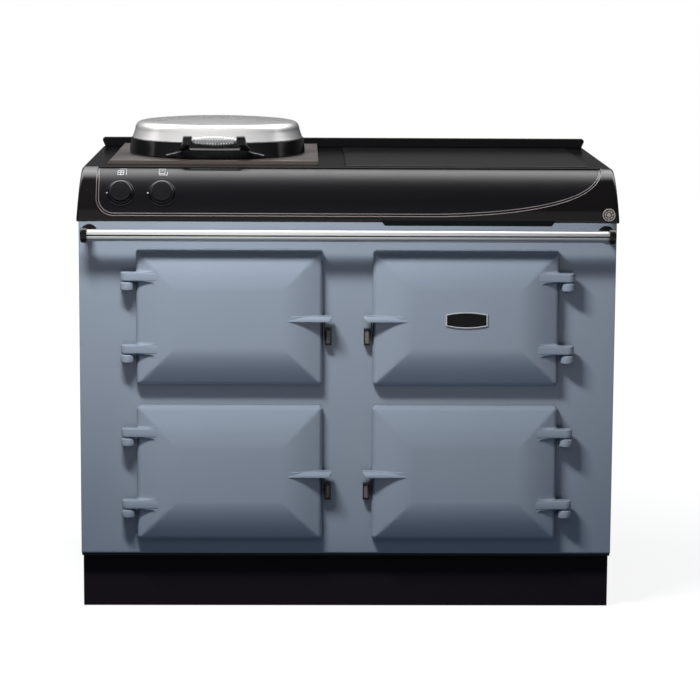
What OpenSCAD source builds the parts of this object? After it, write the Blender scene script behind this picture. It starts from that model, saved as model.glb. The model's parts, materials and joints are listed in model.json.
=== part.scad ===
// Cast iron range cooker: a wide cabinet with four hinged oven doors, an insulated lid over a
// round hotplate, a flat glass hob beside it and a towel rail across the front.
// Millimetres. +X is the cooker's right, -Y its front, +Z up. The origin is on the floor under the
// middle of the whole, so the front panel's face lies at panel_y.

/* [Cabinet] */
// Width of the enamelled cabinet
body_w = 1092; // [1070:1:1200]
// Height of the front plate, from the plinth to the fascia
body_h = 695; // [685:1:740]
// Depth from the front panel's face to the back panel's outer face
body_d = 614; // [610:1:680]
// Thickness of the cast front plate
plate_t = 8; // [6:0.5:10]
// Thickness of the side panels
side_t = 3; // [2:0.5:4]
// Thickness of the back panel
back_t = 2; // [1:0.5:2.5]
// How far the top plate stands out behind the back panel
rear_gap = 13; // [12.5:0.5:30]

/* [Plinth and feet] */
// Height of the plinth under the cabinet
plinth_h = 117; // [100:1:150]
// How far the plinth stands back from the front panel
plinth_setback = 25; // [20:1:40]
// How far the plinth stands in from each side
plinth_inset = 2; // [1:0.5:6]
// Thickness of the plinth sheet and the base pan
sheet_t = 3; // [2:0.5:4]
// Depth of the base pan's turned-down edge
pan_skirt = 30; // [22:1:45]
// Distance of the feet from the cabinet's sides
foot_inset = 66; // [60:1:120]
// Radius of a foot's pad
foot_pad_r = 28; // [20:1:35]
// Radius of a foot's threaded stem
foot_stem_r = 8; // [6:0.5:10]

/* [Fascia and deck] */
// Height of the control fascia, from the front plate to the deck
fascia_h = 100; // [92:1:110]
// How far the fascia's foot stands out in front of the panel
fascia_foot = 22; // [19:1:28]
// How far behind the panel's face the deck begins
deck_front = 54; // [50:1:62]
// How far the fascia's foot is wider than the cabinet, each side
fascia_over = 3; // [1:0.5:8]
// How far the deck is narrower than the cabinet, each side
deck_inset = 4; // [2:0.5:10]
// Wall of the fascia casting
fascia_t = 14; // [12:0.5:18]
// Thickness of the deck and its skirts
deck_t = 8; // [7:0.5:10]
// Depth of the ledge round the control panel
ledge_depth = 3; // [1:0.5:3.5]
// Width of the ledge round the control panel
ledge_w = 6; // [3:0.5:9]
// Depth of the control panel's face below the fascia
recess_depth = 6; // [5:0.5:7]
// Thickness of the control panel
panel_t = 3; // [2:0.5:3.5]
// Height of the rear upstand above the deck
upstand_h = 20; // [10:1:40]
// Thickness of the rear upstand
upstand_t = 19; // [10:1:24]

/* [Doors] */
// Width of an oven door
door_w = 379.5; // [360:0.5:390]
// Height of the front plate above the upper doors
door_top_gap = 60.5; // [56:0.5:75]
// Gap between the left and the right doors
door_mid_gap = 101; // [96:1:110]
// Gap between the lower and the upper doors
door_row_gap = 41.5; // [38:0.5:50]
// Height of the lower doors above the plinth
door_floor_gap = 35; // [30:1:45]
// Height of a door's shoulder in front of the panel
door_rim_h = 22; // [20:0.5:26]
// Height of a door's middle in front of the panel
door_crown_h = 48; // [45:0.5:52]
// How far the door's slopes run in from its edges
door_slope_run = 85; // [70:1:110]
// Radius of the door's rounded shoulder
door_shoulder = 8; // [5:0.5:10]
// Gap between a door and the front panel
door_gap = 3; // [2.5:0.5:5]
// How far a door laps its oven's opening
door_lap = 20; // [17:0.5:26]
// How deep a door's liner stands in its oven
liner_depth = 22; // [12:1:30]

/* [Door hinges and catches] */
// Distance of a hinge pin from its door's edge
hinge_out = 17; // [16:0.5:20]
// Distance of a hinge pin in front of the panel
hinge_y = 24; // [22:0.5:27]
// Radius of the hinge knuckles
knuckle_r = 13.5; // [11:0.5:14]
// Height of a door's hinge arm
arm_h = 18.5; // [16:0.5:24]
// Height of a hinge lug on the panel
lug_h = 17.5; // [14:0.5:22]
// Gap between a lug and the arm over it
arm_gap = 5.5; // [4:0.5:8]
// Radius of a hinge pin
hinge_pin_r = 5; // [4:0.25:6]
// Height of the lower hinge arm above the door's bottom edge
hinge_low = 76; // [60:1:95]
// How far the upper hinge arm lies under the door's top edge
hinge_high = 54.5; // [45:0.5:70]
// How far the latch arm stands past the door's edge
latch_out = 18.5; // [15:0.5:22]
// Thickness of the latch arm
latch_t = 11; // [9:0.5:16]
// Height of a catch on the panel
catch_h = 33.7; // [28:0.1:40]
// Width of a catch
catch_w = 12.5; // [11:0.5:16]
// How far the catch's top lies under the middle of the door
catch_drop = 22.7; // [18:0.1:30]
// Radius of a catch roller
roller_r = 5.5; // [4.5:0.25:6]
// Radius of a catch's pin
catch_pin_r = 2; // [1.5:0.25:2.5]

/* [Ovens] */
// Depth of an oven inside
oven_d = 470; // [400:1:500]
// Wall of an oven
oven_wall = 8; // [5:0.5:10]
// Height of the shelf runners above the oven's floor
runner_z = 36; // [24:1:60]
// Distance between the shelf runners
runner_pitch = 62; // [50:1:64]
// Diameter of the heating elements
element_d = 8; // [6:0.5:10]
// Diameter of the shelves' outer rods
shelf_rod_d = 8; // [6:0.5:9]

/* [Rail] */
// Diameter of the towel rail
rail_d = 24; // [18:0.5:28]
// Distance of the rail's axis from the panel
rail_standoff = 55.5; // [50:0.5:65]
// How far the rail's axis lies under the fascia
rail_drop = 28.8; // [26:0.1:32]
// Distance of the rail caps' outer faces from the cabinet's sides
rail_margin = 7.5; // [4:0.5:20]
// Diameter of the rail's caps
rail_cap_d = 31; // [30:0.5:34]

/* [Hotplate] */
// Height of the hotplate surround above the deck
surround_t = 8; // [6.5:0.5:12]
// Width of the hotplate surround
surround_w = 436; // [424:1:440]
// Depth of the deck between the surround and the upstand
surround_rear = 6; // [4:1:10]
// Distance of the surround from the deck's left edge
surround_margin = 46; // [40:1:50]
// Distance of the surround behind the deck's front edge
surround_front = 60; // [55:1:62]
// Radius of the hotplate's ground face
hotplate_r = 172; // [150:1:175]
// Thickness of the hotplate
hotplate_t = 43; // [30:1:50]
// Depth of the heating rings' pan under the deck
pan_depth = 58; // [50:1:66]
// Width of the pan's flange under the deck
pan_flange = 20; // [14:1:24]

/* [Lid] */
// Radius of the lid's foot
lid_r = 188; // [185:1:192]
// Height of the lid
lid_h = 77; // [70:1:90]
// Radius of the lid's gently domed top
lid_top_r = 162; // [150:1:164]
// How far the lid's top falls from its middle to its shoulder
lid_sag = 8; // [4:0.5:14]
// Radius of the lid where its side meets the lower ring
lid_kink_r = 181.5; // [179:0.5:183]
// Height of the lid's lower ring
lid_ring_h = 33; // [26:1:38]
// Thickness of the lid's steel
lid_t = 2; // [1:0.5:3]
// Distance of the lid's centre ahead of the middle of the surround
lid_forward = 25; // [20:1:27]
// Distance of the lid hinge's axis behind the lid's foot
lid_hinge_out = 20; // [18:0.5:24]
// Height of the lid hinge's axis above the surround
lid_hinge_z = 18; // [16:0.5:20]
// Radius of the lid hinge's pin
lid_pin_r = 4; // [3:0.25:5]

/* [Lid handle] */
// Distance of the handle's rod in front of the lid's foot
handle_out = 32; // [26:0.5:40]
// Height of the handle's rod above the surround
handle_z = 40.6; // [36:0.1:46]
// Distance between the handle's brackets, middle to middle
handle_span = 109.5; // [90:0.5:130]
// Thickness of a handle bracket
handle_bracket_t = 17.5; // [12:0.5:22]
// Diameter of the handle's rod
rod_d = 6; // [4:0.5:6]
// Diameter of the coil's wire
wire_d = 3.2; // [2:0.1:3.2]
// Outer diameter of the coil at its ends
coil_end_d = 13; // [13:0.5:15]
// Outer diameter of the coil at its middle
coil_mid_d = 21; // [18:0.5:24]
// Turns of the coil
coil_turns = 15; // [10:1:16]

/* [Hob] */
// Width of the deck between the surround and the glass
glass_gap = 56.5; // [40:0.5:80]
// Depth of the deck between the glass and the upstand
glass_rear = 24; // [14:1:60]
// Distance of the glass from the deck's right edge
glass_margin = 46.5; // [40:0.5:60]
// Distance of the glass behind the deck's front edge
glass_front = 30; // [24:1:36]
// Thickness of the glass
glass_t = 4; // [3:0.5:6]
// How far the glass stands above the deck
glass_proud = 1.5; // [0.5:0.5:2]
// Depth of the tray under the glass
tray_h = 56; // [40:1:70]

/* [Knobs] */
// Diameter of a knob
knob_d = 48; // [40:1:52]
// Height of a knob over the control panel
knob_h = 20; // [16:0.5:28]
// Distance of the left knob from the control panel's left edge
knob_first = 50; // [45:1:60]
// Distance between the knobs
knob_pitch = 83; // [74:1:100]
// Height of the knobs' axes above the fascia's foot, at the panel
knob_up = 51.5; // [46:0.5:58]
// Radius of a knob's stem
stem_r = 5; // [3:0.25:6]

/* [Hidden] */

$fn = 64;
fit = 0.05;        // radial clearance of a pin, stem or stud in its bore
seat = 0.3;        // clearance between pieces that lie against each other
cut = 1;           // how far a cutter runs past what it cuts

// Colours
enamel_blue = [0.42, 0.50, 0.58];
enamel_black = [0.07, 0.06, 0.06];
gloss_black = [0.04, 0.04, 0.05];
steel = [0.75, 0.75, 0.74];
zinc = [0.60, 0.61, 0.62];
iron = [0.20, 0.20, 0.21];
rope_grey = [0.45, 0.44, 0.42];
wool = [0.80, 0.76, 0.62];
copper = [0.72, 0.45, 0.28];

// Overall places
total_w = body_w + 2 * fascia_over;
total_d = rail_cap_d / 2 + rail_standoff + body_d + rear_gap;
panel_y = -total_d / 2 + rail_standoff + rail_cap_d / 2;
body_top = plinth_h + body_h;
deck_z = body_top + fascia_h;
deck_w = body_w - 2 * deck_inset;
deck_back = body_d + rear_gap;
corner_r = 7;

// Door places, in a right-hand door's own frame: its middle is the origin, +X points to its hinge
door_cx = door_mid_gap / 2 + door_w / 2;
door_h = (body_h - door_floor_gap - door_row_gap - door_top_gap) / 2;
door_z = [for (row = [0, 1]) plinth_h + door_floor_gap + door_h / 2 + row * (door_h + door_row_gap)];
hinge_x = door_w / 2 + hinge_out;
arm_z = [hinge_low - door_h / 2, door_h / 2 - hinge_high];
lug_top = -arm_h / 2 - arm_gap;
pin_bore = arm_h - 4.5;
pocket_inset = 16;
pocket_d = 14;
catch_x = -door_w / 2 - 5;
roller_x = catch_x - roller_r + 0.5;
roller_y = 11;
ear_t = 4;
oven_w = door_w - 2 * door_lap;
oven_h = door_h - 2 * door_lap;
oven_flange = 12;
oven_flange_t = 6;

// Hob and hotplate places
surround_x = -deck_w / 2 + surround_margin + surround_w / 2;
surround_y = deck_front + surround_front;
surround_d = deck_back - upstand_t - surround_rear - surround_y;
surround_z = deck_z + surround_t;
lid_x = surround_x + 3.2;
lid_y = surround_y + surround_d / 2 - lid_forward;
glass_w = deck_w - surround_margin - surround_w - glass_gap - glass_margin;
glass_x = deck_w / 2 - glass_margin - glass_w / 2;
glass_y = deck_front + glass_front;
glass_d = deck_back - upstand_t - glass_rear - glass_y;
glass_lip = 12;
hotplate_flange_r = hotplate_r + 12;
hotplate_flange_t = 4;
hotplate_top = surround_z + 2;

// Fascia curve: a quarter of an ellipse from the foot to the deck
curve_n = 20;
fascia_run = deck_front + fascia_foot;
function curve_y(t, inset) = deck_front - (fascia_run - inset) * cos(t);
function curve_z(t, inset) = body_top + (fascia_h - inset) * sin(t);
function curve_points(inset) =
    [for (i = [0:curve_n]) let (t = 90 * i / curve_n) [curve_y(t, inset), curve_z(t, inset)]];

// Knob axes: they stand square on the control panel
knob_t = asin(knob_up / (fascia_h - recess_depth));
knob_y = curve_y(knob_t, recess_depth);
knob_z = body_top + knob_up;
knob_tilt = atan2(knob_up / pow(fascia_h - recess_depth, 2),
                  (deck_front - knob_y) / pow(fascia_run - recess_depth, 2));
swoosh_left = -total_w / 2 + 39.5;
swoosh_right = total_w / 2 - 33;
knob_x = [swoosh_left + knob_first, swoosh_left + knob_first + knob_pitch];

// Outlines and simple solids
function rounded_rect(w, h, r, n = 6) =
    [for (c = [[1, 1, 0], [-1, 1, 90], [-1, -1, 180], [1, -1, 270]])
        for (i = [0:n]) let (a = c[2] + 90 * i / n)
            [c[0] * (w / 2 - r) + r * cos(a), c[1] * (h / 2 - r) + r * sin(a)]];
function moved(points, by) = [for (p = points) p + by];
function mirrored(points) = [for (i = [len(points) - 1:-1:0]) [-points[i][0], points[i][1]]];
function bezier(a, b, c, d, n) =
    [for (i = [0:n]) let (t = i / n)
        pow(1 - t, 3) * a + 3 * t * pow(1 - t, 2) * b + 3 * t * t * (1 - t) * c + pow(t, 3) * d];

module box(low, high) {
    translate(low)
        cube(high - low);
}

// An outline in X and Z, drawn out along Y
module slab_y(points, y0, y1) {
    translate([0, y1, 0])
        rotate([90, 0, 0])
            linear_extrude(y1 - y0)
                polygon(points);
}

// An outline in Y and Z, drawn out along X
module bar_x(points, x0, x1) {
    translate([x0, 0, 0])
        rotate([90, 0, 90])
            linear_extrude(x1 - x0)
                polygon(points);
}

// A round bar along X
module rod_x(r, x0, x1) {
    translate([x0, 0, 0])
        rotate([0, 90, 0])
            cylinder(r = r, h = x1 - x0);
}

// A round bar along Y
module rod_y(r, y0, y1) {
    translate([0, y0, 0])
        rotate([-90, 0, 0])
            cylinder(r = r, h = y1 - y0);
}

// Puts a piece whose y is counted from the front panel's face in its place
module in_place() {
    translate([0, panel_y, 0])
        children();
}

// Puts a piece in the frame of one door: side is 1 for right and -1 for left
module at_door(side, row) {
    mirror([side < 0 ? 1 : 0, 0, 0])
        translate([door_cx, panel_y, door_z[row]])
            children();
}

module at_all_doors() {
    for (side = [-1, 1], row = [0, 1])
        at_door(side, row)
            children();
}

// ---- Base ----

pan_x = body_w / 2 - 1;
pan_skirt_x = body_w / 2 - plinth_inset - sheet_t;
pan_front = plinth_setback + sheet_t;
pan_back = body_d - 14;
foot_x = body_w / 2 - foot_inset;
foot_y = [pan_front + 52, pan_back - 50];
foot_block = 60;
foot_block_h = 20;
foot_pad_h = 10;
foot_nut_h = 8;

module at_feet() {
    for (side = [-1, 1], y = foot_y)
        translate([side * foot_x, y, 0])
            children();
}

// Turned-down edge of the base pan, with its lugs for the feet
module base_pan() {
    top = plinth_h;
    under = plinth_h - sheet_t;
    color(iron)
        in_place()
            difference() {
                union() {
                    box([-pan_x, cut, under], [pan_x, body_d - back_t - cut, top]);
                    box([-pan_skirt_x, pan_front, under - pan_skirt],
                        [pan_skirt_x, pan_front + sheet_t, under]);
                    box([-pan_skirt_x, pan_back - sheet_t, under - pan_skirt],
                        [pan_skirt_x, pan_back, under]);
                    for (side = [-1, 1])
                        mirror([side < 0 ? 1 : 0, 0, 0])
                            box([pan_skirt_x - sheet_t, pan_front, under - pan_skirt],
                                [pan_skirt_x, pan_back, under]);
                    at_feet()
                        box([-foot_block / 2, -foot_block / 2, under - foot_block_h],
                            [foot_block / 2, foot_block / 2, under]);
                }
                at_feet()
                    translate([0, 0, under - foot_block_h - cut])
                        cylinder(r = foot_stem_r + fit, h = foot_block_h);
            }
}

module levelling_feet() {
    stem_top = plinth_h - sheet_t - cut - fit;
    nut_top = plinth_h - sheet_t - foot_block_h;
    color(zinc)
        in_place()
            at_feet() {
                cylinder(r = foot_pad_r, h = foot_pad_h);
                cylinder(r = foot_stem_r, h = stem_top);
                translate([0, 0, nut_top - foot_nut_h])
                    cylinder(r = foot_stem_r * 1.7, h = foot_nut_h, $fn = 6);
            }
}

plinth_x = body_w / 2 - plinth_inset;
plinth_low = 2;

module plinth_front() {
    color(enamel_black)
        in_place()
            box([-plinth_x, plinth_setback, plinth_low],
                [plinth_x, plinth_setback + sheet_t, plinth_h - sheet_t]);
}

module plinth_sides() {
    color(enamel_black)
        in_place()
            for (side = [-1, 1])
                mirror([side < 0 ? 1 : 0, 0, 0])
                    box([plinth_x - sheet_t, plinth_setback + sheet_t, plinth_low],
                        [plinth_x, pan_back, plinth_h - sheet_t]);
}

// ---- Cabinet ----

side_return = 24;
screw_r = 2;
screw_head_r = 4;
screw_head_h = 2.5;
screw_z = [for (i = [0:3]) plinth_h + 40 + i * (body_h - 80) / 3];
gland_x = body_w / 2 - 126;
gland_z = plinth_h + 113;
gland_bore_r = 9;
gland_body_r = 12;
gland_flange_r = 17;

module at_back_screws() {
    for (side = [-1, 1], z = screw_z)
        translate([side * (body_w / 2 - side_return / 2 - side_t / 2), 0, z])
            children();
}

// A right-hand side sheet with its front, rear and bottom returns
module side_panel() {
    difference() {
        union() {
            box([body_w / 2 - side_t, plate_t, plinth_h],
                [body_w / 2, body_d - back_t, body_top]);
            for (y = [plate_t, body_d - back_t - side_t])
                box([body_w / 2 - side_return, y, plinth_h],
                    [body_w / 2, y + side_t, body_top]);
            box([body_w / 2 - side_return, plate_t, plinth_h],
                [body_w / 2, body_d - back_t, plinth_h + side_t]);
        }
        for (z = screw_z)
            translate([body_w / 2 - side_return / 2 - side_t / 2, 0, z])
                rod_y(screw_r + fit, body_d - back_t - side_t - cut, body_d);
    }
}

module side_panel_right() {
    color(enamel_blue)
        in_place()
            side_panel();
}

module side_panel_left() {
    color(enamel_blue)
        in_place()
            mirror([1, 0, 0])
                side_panel();
}

module back_panel() {
    slot_w = 120;
    slot_h = 6;
    slot_pitch_x = 160;
    slot_pitch_z = 16;
    slot_z = body_top - 40;
    color(zinc)
        in_place()
            difference() {
                box([-body_w / 2, body_d - back_t, plinth_h],
                    [body_w / 2, body_d, body_top]);
                for (i = [-2:2], k = [0:2])
                    translate([i * slot_pitch_x, 0, slot_z - k * slot_pitch_z])
                        box([-slot_w / 2, body_d - back_t - cut, -slot_h / 2],
                            [slot_w / 2, body_d + cut, slot_h / 2]);
                at_back_screws()
                    rod_y(screw_r + fit, body_d - back_t - cut, body_d + cut);
                translate([gland_x, 0, gland_z])
                    rod_y(gland_body_r + fit, body_d - back_t - cut, body_d + cut);
            }
}

module back_screws() {
    color(steel)
        in_place()
            at_back_screws() {
                rod_y(screw_head_r, body_d, body_d + screw_head_h);
                rod_y(screw_r, body_d - back_t - side_t - 4, body_d + cut);
            }
}

// The gland that the mains cable passes through
module cable_gland() {
    outer = 12;
    inner = 19;
    color(gloss_black)
        in_place()
            translate([gland_x, 0, gland_z])
                difference() {
                    union() {
                        rod_y(gland_body_r, body_d - inner, body_d + outer);
                        rod_y(gland_flange_r, body_d, body_d + 4);
                        rod_y(gland_flange_r, body_d - back_t - 5, body_d - back_t);
                    }
                    rod_y(gland_bore_r, body_d - inner - cut, body_d + outer + cut);
                }
}

module front_plate() {
    edge_r = 6;
    edge_n = 5;
    // the bottom edge is rounded to the front
    section = concat(
        [[0, body_top], [plate_t, body_top], [plate_t, plinth_h], [edge_r, plinth_h]],
        [for (i = [1:edge_n]) let (a = 90 * i / edge_n)
            [edge_r - edge_r * sin(a), plinth_h + edge_r - edge_r * cos(a)]]);
    color(enamel_blue)
        in_place()
            difference() {
                bar_x(section, -body_w / 2, body_w / 2);
                for (side = [-1, 1], z = door_z)
                    slab_y(moved(rounded_rect(oven_w, oven_h, 12), [side * door_cx, z]),
                           -cut, plate_t + cut);
            }
}

// Rope seals between the panel and the doors
module door_seals() {
    rope_w = 8;
    out = 6;
    outer = rounded_rect(oven_w + 2 * (out + rope_w), oven_h + 2 * (out + rope_w), 14);
    inner = rounded_rect(oven_w + 2 * out, oven_h + 2 * out, 10);
    color(rope_grey)
        at_all_doors()
            difference() {
                slab_y(outer, -door_gap + seat, 0);
                slab_y(inner, -door_gap, cut);
            }
}

// ---- Hinges and catches on the panel ----

module hinge_lugs() {
    color(enamel_blue)
        at_all_doors()
            for (z = arm_z)
                translate([hinge_x, -hinge_y, z + lug_top - lug_h])
                    difference() {
                        union() {
                            cylinder(r = knuckle_r, h = lug_h);
                            box([-knuckle_r, 0, 0], [knuckle_r, hinge_y, lug_h]);
                        }
                        translate([0, 0, -cut])
                            cylinder(r = hinge_pin_r + fit, h = lug_h + 2 * cut);
                    }
}

// Each pin stands in its lug, and its collar carries the door's arm
module hinge_pins() {
    collar_r = 8;
    color(steel)
        at_all_doors()
            for (z = arm_z)
                translate([hinge_x, -hinge_y, z + lug_top]) {
                    translate([0, 0, -lug_h])
                        cylinder(r = hinge_pin_r, h = lug_h + arm_gap + pin_bore - seat);
                    cylinder(r = collar_r, h = arm_gap - seat);
                }
}

module catch_brackets() {
    base_t = 3;
    ear_out = 17;
    color(zinc)
        at_all_doors()
            translate([0, 0, -catch_drop - catch_h]) {
                box([catch_x - catch_w, -base_t, 0], [catch_x, 0, catch_h]);
                for (z = [0, catch_h - ear_t])
                    box([catch_x - catch_w, -ear_out, z], [catch_x, 0, z + ear_t]);
                translate([roller_x, -roller_y, 0])
                    cylinder(r = catch_pin_r, h = catch_h);
            }
}

module catch_roller(side, row) {
    color(steel)
        at_door(side, row)
            translate([roller_x, -roller_y, -catch_drop - catch_h + ear_t + seat])
                difference() {
                    cylinder(r = roller_r, h = catch_h - 2 * ear_t - 2 * seat);
                    translate([0, 0, -cut])
                        cylinder(r = catch_pin_r + fit, h = catch_h);
                }
}

module roller_top_left() { catch_roller(-1, 1); }
module roller_top_right() { catch_roller(1, 1); }
module roller_bottom_left() { catch_roller(-1, 0); }
module roller_bottom_right() { catch_roller(1, 0); }

// Louvred outlet under the right of the fascia
module vent_strip() {
    left = 65;
    right = total_w / 2 - 128;
    drop = 13.5;
    slant = 9;
    depth = 16;
    slots = 24;
    slot_w = 8;
    pitch = (right - left - 2 * slant) / slots;
    outline = [[left, body_top], [right, body_top],
               [right - slant, body_top - drop], [left + slant, body_top - drop]];
    color(gloss_black)
        in_place()
            difference() {
                slab_y(outline, -depth, 0);
                for (i = [0:slots - 1])
                    box([left + slant + i * pitch, -depth - cut, body_top - drop + 3],
                        [left + slant + i * pitch + slot_w, -6, body_top - 3]);
            }
}

// ---- Top ----

// The outline of the fascia and the deck seen from the front, with drafted sides
function draft_points(inset, low = 0) =
    let (top_x = deck_w / 2 - inset - corner_r, top_z = deck_z - inset - corner_r,
         half = [for (i = [0:4]) let (a = 90 * i / 4)
                    [top_x + corner_r * cos(a), top_z + corner_r * sin(a)]])
        concat([[total_w / 2 - inset, body_top + low]], half, mirrored(half),
               [[-total_w / 2 + inset, body_top + low]]);

module fascia_solid(inset, x0, x1) {
    bar_x(concat([[deck_front + cut, body_top - cut]], [[curve_y(0, inset), body_top - cut]],
                 curve_points(inset), [[deck_front + cut, curve_z(90, inset)]]), x0, x1);
}

// The swoosh-shaped outline of the control panel, seen from the front
function swoosh_points(inset) =
    let (left = swoosh_left + inset, right = swoosh_right - inset, low = body_top + 7 + inset,
         r = 36 - inset, sweep = 330)
        concat([[left, deck_z + cut]],
               [for (i = [0:6]) let (a = 180 + 90 * i / 6)
                   [left + r + r * cos(a), low + r + r * sin(a)]],
               bezier([right - sweep, low], [right - sweep / 2, low + 3],
                      [right - 8, low + 27], [right, deck_z], 16),
               [[right, deck_z + cut]]);

module at_knobs() {
    for (x = knob_x)
        translate([x, knob_y, knob_z])
            rotate([90 - knob_tilt, 0, 0])
                children();
}

// The pocket in front of an inner fascia curve
module swoosh_pocket(inset, depth) {
    difference() {
        slab_y(swoosh_points(inset), -fascia_foot - cut, deck_front + cut / 2);
        fascia_solid(depth, -total_w / 2, total_w / 2);
    }
}

module control_fascia() {
    wall = 10;
    floor_t = 8;
    color(enamel_black)
        in_place()
            difference() {
                intersection() {
                    difference() {
                        fascia_solid(0, -total_w / 2, total_w / 2);
                        box([-total_w, deck_front, 0], [total_w, deck_front + 2 * cut, deck_z + cut]);
                        box([-total_w, -fascia_foot - cut, 0], [total_w, deck_front + cut, body_top]);
                    }
                    slab_y(draft_points(0), -fascia_foot - cut, deck_front + cut);
                }
                intersection() {
                    fascia_solid(fascia_t, -total_w / 2 + wall, total_w / 2 - wall);
                    box([-deck_w / 2 + wall, -fascia_foot, body_top + floor_t],
                        [deck_w / 2 - wall, deck_front + cut, deck_z]);
                }
                swoosh_pocket(0, ledge_depth);
                swoosh_pocket(ledge_w, recess_depth + panel_t);
                at_knobs()
                    translate([0, 0, -fascia_t * 2])
                        cylinder(r = stem_r + 1, h = fascia_t * 3);
            }
}

// The glossy curved panel that fills the swoosh
module control_panel() {
    color(gloss_black)
        in_place()
            difference() {
                intersection() {
                    slab_y(swoosh_points(ledge_w + seat), -fascia_foot - cut, deck_front - seat);
                    difference() {
                        fascia_solid(recess_depth, swoosh_left, swoosh_right);
                        fascia_solid(recess_depth + panel_t, swoosh_left - cut, swoosh_right + cut);
                    }
                }
                at_knobs()
                    translate([0, 0, -fascia_t])
                        cylinder(r = stem_r + 1, h = fascia_t * 2);
            }
}

// A collar round each knob that stands on the curved panel, with a mark at its left
module knob_bezels() {
    ring_t = 2.4;
    ring_h = 1.2;
    r = knob_d / 2 + 1;
    sunk = 12;
    color(gloss_black)
        in_place()
            difference() {
                at_knobs() {
                    rotate_extrude()
                        polygon([[r, -sunk], [r + ring_t, -sunk], [r + ring_t, ring_h - 0.6],
                                 [r + ring_t / 2, ring_h], [r, ring_h - 0.6]]);
                    translate([-r - ring_t - 2.4, -1.2, -sunk])
                        cube([3, 2.4, sunk + ring_h - 0.6]);
                }
                fascia_solid(recess_depth, -total_w / 2, total_w / 2);
            }
}

// Switch bodies behind the fascia, with a bore for each knob's stem
switch_front = 10;
switch_d = 16;

module rotary_switches() {
    size = 34;
    color(rope_grey)
        in_place()
            at_knobs()
                difference() {
                    union() {
                        translate([-size / 2, -size / 2, -switch_front - switch_d])
                            cube([size, size, switch_d]);
                        translate([0, 0, -switch_front])
                            cylinder(r = stem_r + 3, h = 1.5);
                    }
                    translate([0, 0, -switch_front - switch_d + 3])
                        cylinder(r = stem_r + fit, h = switch_d);
                }
}

// A knob with its stem: a domed cap with a waist and a finger pip near its rim
module knob(which) {
    r = knob_d / 2;
    dome = 3;
    edge = 3;
    base = 1.2;
    profile = concat([[0, -switch_front - switch_d / 2], [stem_r, -switch_front - switch_d / 2],
                      [stem_r, base + 1], [r - 3, base], [r - 1, base + 1]],
                     [for (i = [0:4]) let (a = 90 * i / 4)
                         [r - edge + edge * cos(a), knob_h - dome - edge + edge * sin(a)]],
                     [for (i = [1:5]) [(r - edge) * (1 - i / 5), knob_h - dome * pow(1 - i / 5, 2)]]);
    color(gloss_black)
        in_place()
            translate([knob_x[which], knob_y, knob_z])
                rotate([90 - knob_tilt, 0, 0])
                    difference() {
                        rotate_extrude()
                            polygon(profile);
                        translate([-0.6, r - 7, knob_h - dome - 1])
                            cube([1.2, 5, dome + 2]);
                    }
}

module knob_left() { knob(0); }
module knob_right() { knob(1); }

// A plain round disc at the right foot of the fascia
module medallion() {
    up = 12;
    inset = 22;
    t = asin(up / fascia_h);
    r = 13;
    tilt = atan2(sin(t) / fascia_h, cos(t) / fascia_run);
    profile = [[0, 0], [r, 0], [r, 2.2], [r - 1, 2.8], [r - 2.4, 2.2], [r - 3, 2.5], [0, 3.4]];
    color(zinc)
        in_place()
            translate([total_w / 2 - inset, curve_y(t, 0), body_top + up])
                rotate([90 - tilt, 0, 0])
                    rotate_extrude()
                        polygon(profile);
}

module top_plate() {
    skirt_back_t = 8;
    color(enamel_black)
        in_place()
            difference() {
                slab_y(draft_points(0), deck_front, deck_back);
                slab_y([[-deck_w / 2 + deck_t, body_top - cut], [deck_w / 2 - deck_t, body_top - cut],
                        [deck_w / 2 - deck_t - 4, deck_z - deck_t],
                        [-deck_w / 2 + deck_t + 4, deck_z - deck_t]],
                       deck_front - cut, deck_back - skirt_back_t);
                // hotplate aperture
                translate([lid_x, lid_y, deck_z - deck_t - cut])
                    cylinder(r = hotplate_r + 2, h = deck_t + 2 * cut);
                // rebate and aperture of the hob glass
                box([glass_x - glass_w / 2 - seat, glass_y - seat, deck_z + glass_proud - glass_t],
                    [glass_x + glass_w / 2 + seat, glass_y + glass_d + seat, deck_z + cut]);
                box([glass_x - glass_w / 2 + glass_lip, glass_y + glass_lip, deck_z - deck_t - cut],
                    [glass_x + glass_w / 2 - glass_lip, glass_y + glass_d - glass_lip, deck_z + cut]);
            }
}

module rear_upstand() {
    r = 6;
    half = [for (i = [0:4]) let (a = 90 * i / 4)
               [deck_w / 2 - r - 1 + r * cos(a), deck_z + upstand_h - r + r * sin(a)]];
    outline = concat([[deck_w / 2 - corner_r, deck_z]], half, mirrored(half),
                     [[-deck_w / 2 + corner_r, deck_z]]);
    color(enamel_black)
        in_place()
            slab_y(outline, deck_back - upstand_t, deck_back);
}

// ---- Hotplate ----

module at_lid(z = surround_z) {
    translate([lid_x, panel_y + lid_y, z])
        children();
}

module hotplate_surround() {
    bevel = 6;
    flange_space = hotplate_flange_t + 1;
    color(enamel_black)
        in_place()
            difference() {
                intersection() {
                    slab_y([[surround_x - surround_w / 2, deck_z], [surround_x + surround_w / 2, deck_z],
                            [surround_x + surround_w / 2, surround_z],
                            [surround_x - surround_w / 2 + bevel, surround_z]],
                           surround_y, surround_y + surround_d);
                    bar_x([[surround_y, deck_z], [surround_y + surround_d, deck_z],
                           [surround_y + surround_d, surround_z], [surround_y + 2, surround_z]],
                          surround_x - surround_w, surround_x + surround_w);
                }
                translate([lid_x, lid_y, deck_z - cut])
                    cylinder(r = hotplate_r + 1.5, h = surround_t + 2 * cut);
                translate([lid_x, lid_y, deck_z - cut])
                    cylinder(r = hotplate_flange_r + 1, h = flange_space + cut);
            }
}

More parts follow.
